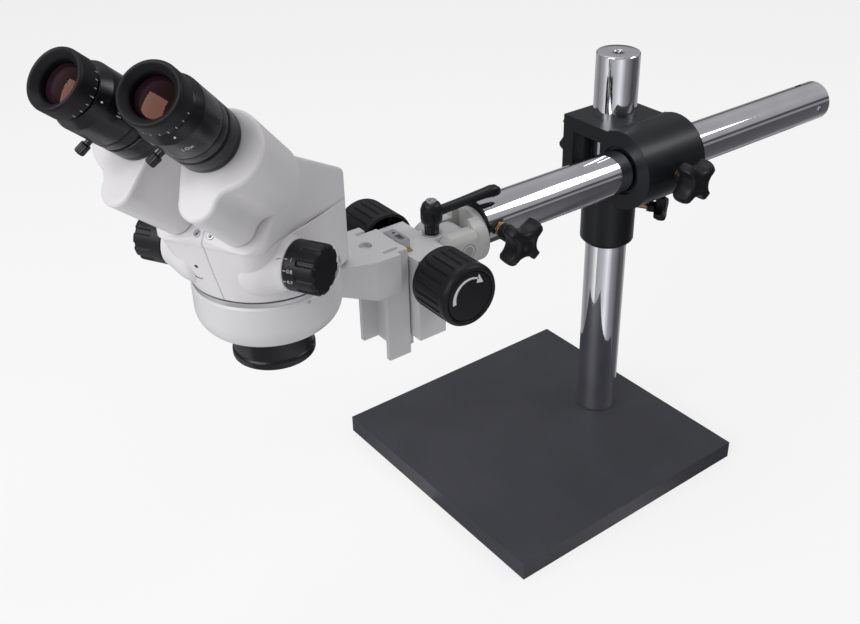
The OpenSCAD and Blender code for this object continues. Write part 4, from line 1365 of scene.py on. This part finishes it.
@dataclass
class Ocular:
    """One side of the binocular tube: prism housing, tube, eyepiece, eyecup, lens and lock screw.

    Args:
        side: Which side it is.
        head: The head it sits on.
        big: Centre of the housing's upper lobe, down the slope and outwards.
        big_r: Its radius.
        small: Centre of the lower lobe.
        small_r: Its radius.
        waist_r: Radius of the hollow waist.
        barrel_r: Radius of the barrel.
        cup_r: Radius of the eyecup.
        length: Height of the eyecup's rim above the housing.
        lock_turn: Direction of the lock screw, in degrees from down the slope.
    """

    side: Side
    head: Head
    big: tuple[float, float] = (4.1, 9.9)
    big_r: float = 23.7
    small: tuple[float, float] = (35.1, 4.4)
    small_r: float = 11.2
    waist_r: float = 12.0
    barrel_r: float = 19.4
    cup_r: float = 17.5
    length: float = 67.0
    lock_turn: float = -33.5

    def outline(self, inset: float) -> np.ndarray:
        """Returns the housing's outline, moved inwards by an inset.

        Two lobes, joined by a straight tangent on the inner side and by an
        arc of the waist radius on the outer side, sampled evenly.
        """
        p0, p1 = np.array(self.big), np.array(self.small)
        r0, r1, rw = self.big_r - inset, self.small_r - inset, self.waist_r + inset
        step = p1 - p0
        span = float(np.hypot(*step))
        a = ((r0 + rw) ** 2 - (r1 + rw) ** 2 + span**2) / (2 * span)
        h = np.sqrt((r0 + rw) ** 2 - a**2)
        ahead = step / span
        left = np.array([-ahead[1], ahead[0]])
        waist = p0 + a * ahead + h * left
        bearing = np.arctan2(ahead[1], ahead[0])
        lean = bearing - np.arccos((r0 - r1) / span)
        to_waist0 = np.arctan2(*(waist - p0)[::-1])
        to_waist1 = np.arctan2(*(waist - p1)[::-1])
        arc1 = np.linspace(lean, to_waist1, 60)
        back0 = np.linspace(to_waist1 + np.pi, to_waist0 - np.pi + 2 * np.pi, 40)
        arc0 = np.linspace(to_waist0, lean + 2 * np.pi, 120)
        line = np.vstack([
            p1 + r1 * np.stack([np.cos(arc1), np.sin(arc1)], axis=-1),
            waist + rw * np.stack([np.cos(back0), np.sin(back0)], axis=-1),
            p0 + r0 * np.stack([np.cos(arc0), np.sin(arc0)], axis=-1)])
        return evenly(np.vstack([line, line[:1]]), 361)[:-1]

    def housing(self) -> Shape:
        """Builds the prism housing.

        Rings of the outline run back from the face; near both ends they are
        inset on a quarter circle, which rounds the edges by 2.6 mm in front.
        """
        bend = np.radians(np.linspace(0, 90, 8))
        ends = [[(soft * (1 - np.sin(b)), start + sign * soft * (1 - np.cos(b))) for b in bend]
                for soft, start, sign in ((2.6, 0.0, -1.0), (1.2, -self.head.depth, 1.0))]
        stack = []
        for inset, height in [(4.5, 0.0)] + ends[0] + ends[1][::-1]:
            flat = self.outline(inset) * np.array([1.0, self.side.value])
            stack.append(np.column_stack([flat, np.full(len(flat), height)]))
        hub = lathe([(5.5, -self.head.depth + 1), (8, -self.head.depth + 1), (8, -self.head.depth - 4.3),
                     (5.5, -self.head.depth - 4.3)], 0.2, 64, loop=True)
        hub = hub.moved(move(self.small[0], self.side.value * self.small[1], 0))
        return from_rings(np.stack(stack)).plus(hub)

    def tube(self) -> Shape:
        """Builds the fixed tube with its groove."""
        r = self.barrel_r
        return lathe([(15.05, 0.05), (r - 0.3, 0.05), (r, 0.4), (r, 3.6), (r - 0.25, 3.8), (r, 4.0),
                      (r, 14.4), (r - 1.4, 14.9), (r - 1.4, 16.9), (r - 0.15, 17.2), (r, 17.5), (r, 23.6),
                      (r - 0.4, 23.95), (15.05, 23.95)], 0.15, 160, loop=True)

    def barrel(self) -> Shape:
        """Builds the eyepiece with its bevelled rim."""
        r = self.barrel_r
        return lathe([(11.5, 4), (15, 4), (15, 24.05), (r - 0.5, 24.05), (r - 0.05, 24.5),
                      (r - 0.05, 45.2), (r - 0.4, 46.0), (16.4, 51.6), (15.9, 52.0), (15.2, 52.0),
                      (15.2, 55.9), (11.5, 55.9)], 0.3, 160, loop=True)

    def cup(self) -> Shape:
        """Builds the eyecup: a short drum whose mouth falls inwards as a shallow cone."""
        r, end = self.cup_r, self.length
        return lathe([(15.25, 54.0), (r - 0.4, 54.0), (r, 54.5), (r, end - 1.9), (r - 0.5, end - 0.5),
                      (r - 1.3, end), (r - 2.3, end - 0.35), (12.4, end - 3.6), (11.9, end - 4.6),
                      (11.8, 57.0), (11.8, 56.0), (15.25, 56.0)], 0.5, 160, loop=True)

    def lens(self) -> Shape:
        """Builds the eye lens: a 2.2 mm dome whose height falls with the square of the radius."""
        r = np.linspace(11.4, 0.0, 14)
        dome = [(float(q), float(59.4 + 2.2 * (1 - (q / 11.4) ** 2))) for q in r]
        return lathe([(0, 49.5), (11.4, 49.5)] + dome, 0.1, 96)

    def screw(self) -> Shape:
        """Builds the lock screw with a knurled head."""
        shank = lathe([(0, 15.1), (1.9, 15.1), (1.9, 23.0), (0, 23.0)], 0.1, 32)

        def knurl(radius: np.ndarray, height: np.ndarray, angle: np.ndarray) -> np.ndarray:
            """Cuts 16 flutes in the head's wall."""
            return radius - 0.25 * smoothstep((radius - 2.7) / 0.3) * (0.5 + 0.5 * np.cos(16 * angle))

        head = lathe([(0, 22.8), (2.6, 22.8), (3.1, 23.4), (3.1, 28.7), (2.6, 29.4), (0, 29.6)], 0.3, 128,
                     knurl)
        return shank.plus(head).moved(move(0, 0, 21) @ turn("Z", self.lock_turn) @ turn("Y", 90))

    def cup_marks(self) -> Shape:
        """Builds the dioptre ticks round the eyecup's foot."""
        ticks = [tile(0.35, 1.8 if k else 2.6, 0.05, 4.6 * k, 55.6) for k in range(-3, 4)]
        out = reduce(Shape.plus, ticks)
        out.points = on_drum(out.points, self.cup_r)
        return out

    def barrel_marks(self) -> Shape:
        """Builds the white dot on the bevelled rim and the power, 10x, on the barrel."""
        digits = lettering("10x", 3.4)
        digits.points[:, 1] += 36.0
        digits.points = on_drum(digits.points, self.barrel_r - 0.02)
        dot = lathe([(0, -0.2), (0.6, -0.2), (0.6, 0.12), (0, 0.16)], 0.05, 20)
        return digits.plus(dot.moved(move(17.9, 0, 48.9) @ turn("Y", 47)))

    def build(self, shop: Shop) -> None:
        """Makes this side's pieces."""
        tag = self.side.name.lower()
        place = self.head.eye_place(self.side)
        facing = turn("Z", 34 if self.side is Side.NEAR else 78)
        shop.piece(f"prism_shell_{tag}", self.housing().moved(place), HEAD_WHITE, f"ocular_{tag}",
                   [f"prism_housing_{tag}"], sharp=50)
        shop.piece(f"ocular_tube_{tag}", self.tube().moved(place), EYE_BLACK, f"ocular_{tag}",
                   [f"eyetube_{tag}"])
        shop.piece(f"eyepiece_barrel_{tag}", self.barrel().moved(place), EYE_BLACK, f"eyepiece_{tag}",
                   [f"eyepiece_{tag}"])
        shop.piece(f"eyecup_mouth_{tag}", self.cup().moved(place), CUP_RUBBER, f"eyecup_{tag}",
                   [f"eyecup_{tag}"])
        shop.piece(f"eye_glass_{tag}", self.lens().moved(place), EYE_LENS, f"eyepiece_{tag}",
                   [f"eye_lens_{tag}"])
        shop.piece(f"lock_thumb_{tag}", self.screw().moved(place), EYE_BLACK, f"lock_screw_{tag}",
                   [f"lock_screw_{tag}"])
        shop.piece(f"dioptre_scale_{tag}", self.cup_marks().moved(place @ facing), MARK_WHITE,
                   f"eyecup_{tag}")
        shop.piece(f"power_mark_{tag}", self.barrel_marks().moved(place @ facing), MARK_WHITE,
                   f"eyepiece_{tag}")


# ---------------------------------------------------------------------------
# Studio


@dataclass
class Studio:
    """Camera, floor and soft light.

    Args:
        eye: Camera position in metres.
        azimuth: Bearing of the camera about the object, in degrees.
        rise: Angle of the camera above the horizon, in degrees.
        roll: Turn about the line of sight, in degrees.
        lens: Focal length in millimetres.
        shift: Horizontal and vertical shift of the frame.
    """

    eye: tuple[float, float, float] = (-0.561912, -0.606015, 0.652329)
    azimuth: float = -37.799
    rise: float = 30.052
    roll: float = -0.544
    lens: float = 45.30
    shift: tuple[float, float] = (-0.0345, -0.0315)

    def camera(self) -> None:
        """Makes the camera: its back points along the bearing and rise."""
        az, el, roll = np.radians([self.azimuth, self.rise, self.roll])
        back = np.array([np.sin(az) * np.cos(el), -np.cos(az) * np.cos(el), np.sin(el)])
        right = np.cross(-back, [0.0, 0.0, 1.0])
        right /= np.linalg.norm(right)
        up = np.cross(right, -back)
        r = right * np.cos(roll) + up * np.sin(roll)
        u = up * np.cos(roll) - right * np.sin(roll)
        matrix = axes(r, u, back, self.eye)
        data = bpy.data.cameras.new("viewpoint")
        data.lens = self.lens
        data.sensor_width = 36.0
        data.shift_x, data.shift_y = self.shift
        data.clip_start = 0.01
        item = bpy.data.objects.new("viewpoint", data)
        item.matrix_world = Matrix(matrix.tolist())
        bpy.context.collection.objects.link(item)
        bpy.context.scene.camera = item

    def lamp(self, name: str, at: tuple[float, float, float], size: float, power: float) -> None:
        """Hangs a square soft lamp that faces the object's middle."""
        data = bpy.data.lights.new(name, "AREA")
        data.energy = power
        data.size = size
        item = bpy.data.objects.new(name, data)
        towards = np.array([-0.05, 0.0, 0.22]) - np.array(at)
        towards /= np.linalg.norm(towards)
        side = np.cross(towards, [0, 0, 1.0])
        side /= np.linalg.norm(side)
        matrix = axes(side, np.cross(side, towards), -towards, at)
        item.matrix_world = Matrix(matrix.tolist())
        bpy.context.collection.objects.link(item)

    def surroundings(self) -> None:
        """Makes the surroundings: grey walls whose brightness changes with height, for the metal to show."""
        world = bpy.data.worlds.new("studio")
        bpy.context.scene.world = world
        world.use_nodes = True
        tree = world.node_tree
        tree.nodes.clear()
        wall_frame = tree.nodes.new("NodeFrame")
        wall_frame.label = "Brightness with height"
        where = tree.nodes.new("ShaderNodeTexCoord")
        where.label = "Direction"
        parts = tree.nodes.new("ShaderNodeSeparateXYZ")
        parts.label = "Height of the direction"
        tone = tree.nodes.new("ShaderNodeValToRGB")
        tone.label = "Walls and ceiling"
        stops = ((0.0, 0.50), (0.08, 0.42), (0.14, 0.12), (0.21, 0.10), (0.27, 0.60), (0.55, 0.75),
                 (0.98, 0.55))
        fill_ramp(tone.color_ramp, stops, 1.03)
        tone.color_ramp.elements.remove(tone.color_ramp.elements[len(stops)])
        glow = tree.nodes.new("ShaderNodeBackground")
        glow.label = "Studio walls"
        glow.inputs["Strength"].default_value = 0.55
        out = tree.nodes.new("ShaderNodeOutputWorld")
        out.label = "Surroundings"
        for node in (where, parts, tone):
            node.parent = wall_frame
        place_nodes([where, parts, tone, glow, out], -800, 0)
        tree.links.new(where.outputs["Generated"], parts.inputs["Vector"])
        tree.links.new(parts.outputs["Z"], tone.inputs["Fac"])
        tree.links.new(tone.outputs["Color"], glow.inputs["Color"])
        tree.links.new(glow.outputs["Background"], out.inputs["Surface"])

    def floor_material(self) -> bpy.types.Material:
        """Builds the floor's finish: pale to the eye, bright to soft light and mid grey in polished metal."""
        material = blank_material("pale floor")
        nodes, links = material.node_tree.nodes, material.node_tree.links
        eye_frame = nodes.new("NodeFrame")
        eye_frame.label = "Seen by the eye"
        metal_frame = nodes.new("NodeFrame")
        metal_frame.label = "Seen in polished metal"
        path = nodes.new("ShaderNodeLightPath")
        path.label = "What looks at the floor"
        pale = nodes.new("ShaderNodeBsdfPrincipled")
        pale.label = "Pale sweep"
        pale.inputs["Base Color"].default_value = (0.2, 0.2, 0.2, 1)
        pale.inputs["Roughness"].default_value = 0.9
        pale.inputs["Specular IOR Level"].default_value = 0.0
        pale.inputs["Emission Color"].default_value = (1, 1, 1, 1)
        pale.inputs["Emission Strength"].default_value = 0.76
        bounce = nodes.new("ShaderNodeBsdfDiffuse")
        bounce.label = "Bounced light"
        bounce.inputs["Color"].default_value = (0.8, 0.8, 0.8, 1)
        where = nodes.new("ShaderNodeTexCoord")
        where.label = "Place on the floor"
        shift = nodes.new("ShaderNodeMapping")
        shift.label = "Centre on the post"
        shift.inputs["Location"].default_value = (-0.0768, 0.0, 0.0)
        around = nodes.new("ShaderNodeTexGradient")
        around.label = "Bearing about the post"
        around.gradient_type = "RADIAL"
        tone = nodes.new("ShaderNodeValToRGB")
        tone.label = "Dark and light cards"
        stops = ((0.0, 0.34), (0.10, 0.50), (0.17, 0.92), (0.24, 0.30), (0.36, 0.07), (0.46, 0.12),
                 (0.52, 0.42),
                 (0.60, 0.30), (0.70, 0.46), (0.84, 0.20), (0.92, 0.38))
        fill_ramp(tone.color_ramp, stops, 1.04)
        cards = nodes.new("ShaderNodeEmission")
        cards.label = "Floor in polished metal"
        inner = nodes.new("ShaderNodeMixShader")
        inner.label = "Metal or soft light"
        outer = nodes.new("ShaderNodeMixShader")
        outer.label = "Eye or not"
        out = nodes.new("ShaderNodeOutputMaterial")
        out.label = "Floor surface"
        for node in (pale, outer):
            node.parent = eye_frame
        for node in (where, shift, around, tone, cards, inner):
            node.parent = metal_frame
        place_nodes([path, inner, outer, out], 0, 0)
        place_nodes([pale], 0, 300)
        place_nodes([bounce], 0, -300)
        place_nodes([where, shift, around, tone, cards], -1000, -500)
        links.new(where.outputs["Object"], shift.inputs["Vector"])
        links.new(shift.outputs["Vector"], around.inputs["Vector"])
        links.new(around.outputs["Fac"], tone.inputs["Fac"])
        links.new(tone.outputs["Color"], cards.inputs["Color"])
        links.new(path.outputs["Is Glossy Ray"], inner.inputs["Fac"])
        links.new(bounce.outputs["BSDF"], inner.inputs[1])
        links.new(cards.outputs["Emission"], inner.inputs[2])
        links.new(path.outputs["Is Camera Ray"], outer.inputs["Fac"])
        links.new(inner.outputs["Shader"], outer.inputs[1])
        links.new(pale.outputs["BSDF"], outer.inputs[2])
        links.new(outer.outputs["Shader"], out.inputs["Surface"])
        return material

    def floor(self) -> None:
        """Lays the pale floor, a flat grid of 12 m."""
        line = np.linspace(-6, 6, 60)
        x, y = np.meshgrid(line, line)
        sheet = from_rings(np.stack([x, y, np.zeros_like(x)], axis=-1), wrap=False, caps=False)
        mesh = bpy.data.meshes.new("floor")
        mesh.from_pydata(sheet.points.tolist(), [], sheet.faces)
        mesh.materials.append(self.floor_material())
        item = bpy.data.objects.new("floor", mesh)
        bpy.context.collection.objects.link(item)
        item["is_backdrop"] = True

    def build(self) -> None:
        """Makes the studio."""
        self.camera()
        self.surroundings()
        self.floor()
        self.lamp("key softbox", (-1.6, -0.2, 1.25), 1.2, 20)
        self.lamp("side softbox", (1.25, -0.92, 1.60), 0.7, 8)
        self.lamp("top softbox", (0.1, 0.5, 2.0), 1.2, 7)
        bpy.context.scene.view_settings.view_transform = "Standard"


def as_lists(bounds: Sequence) -> list:
    """Returns a box as plain lists of numbers."""
    return [[float(v) for v in corner] for corner in bounds]


def main(frame: dict, cad_box: list) -> None:
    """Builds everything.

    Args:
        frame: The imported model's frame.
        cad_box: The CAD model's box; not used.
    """
    shop = Shop(frame)
    Studio().build()
    Stand().build(shop)
    FocusArm().build(shop)
    head = Head()
    head.build(shop)
    for side in Side:
        Ocular(side, head).build(shop)


if __name__ == "__main__":
    logging.basicConfig(level=logging.INFO, stream=sys.stdout)
    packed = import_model()
    main(packed, as_lists(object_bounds()))
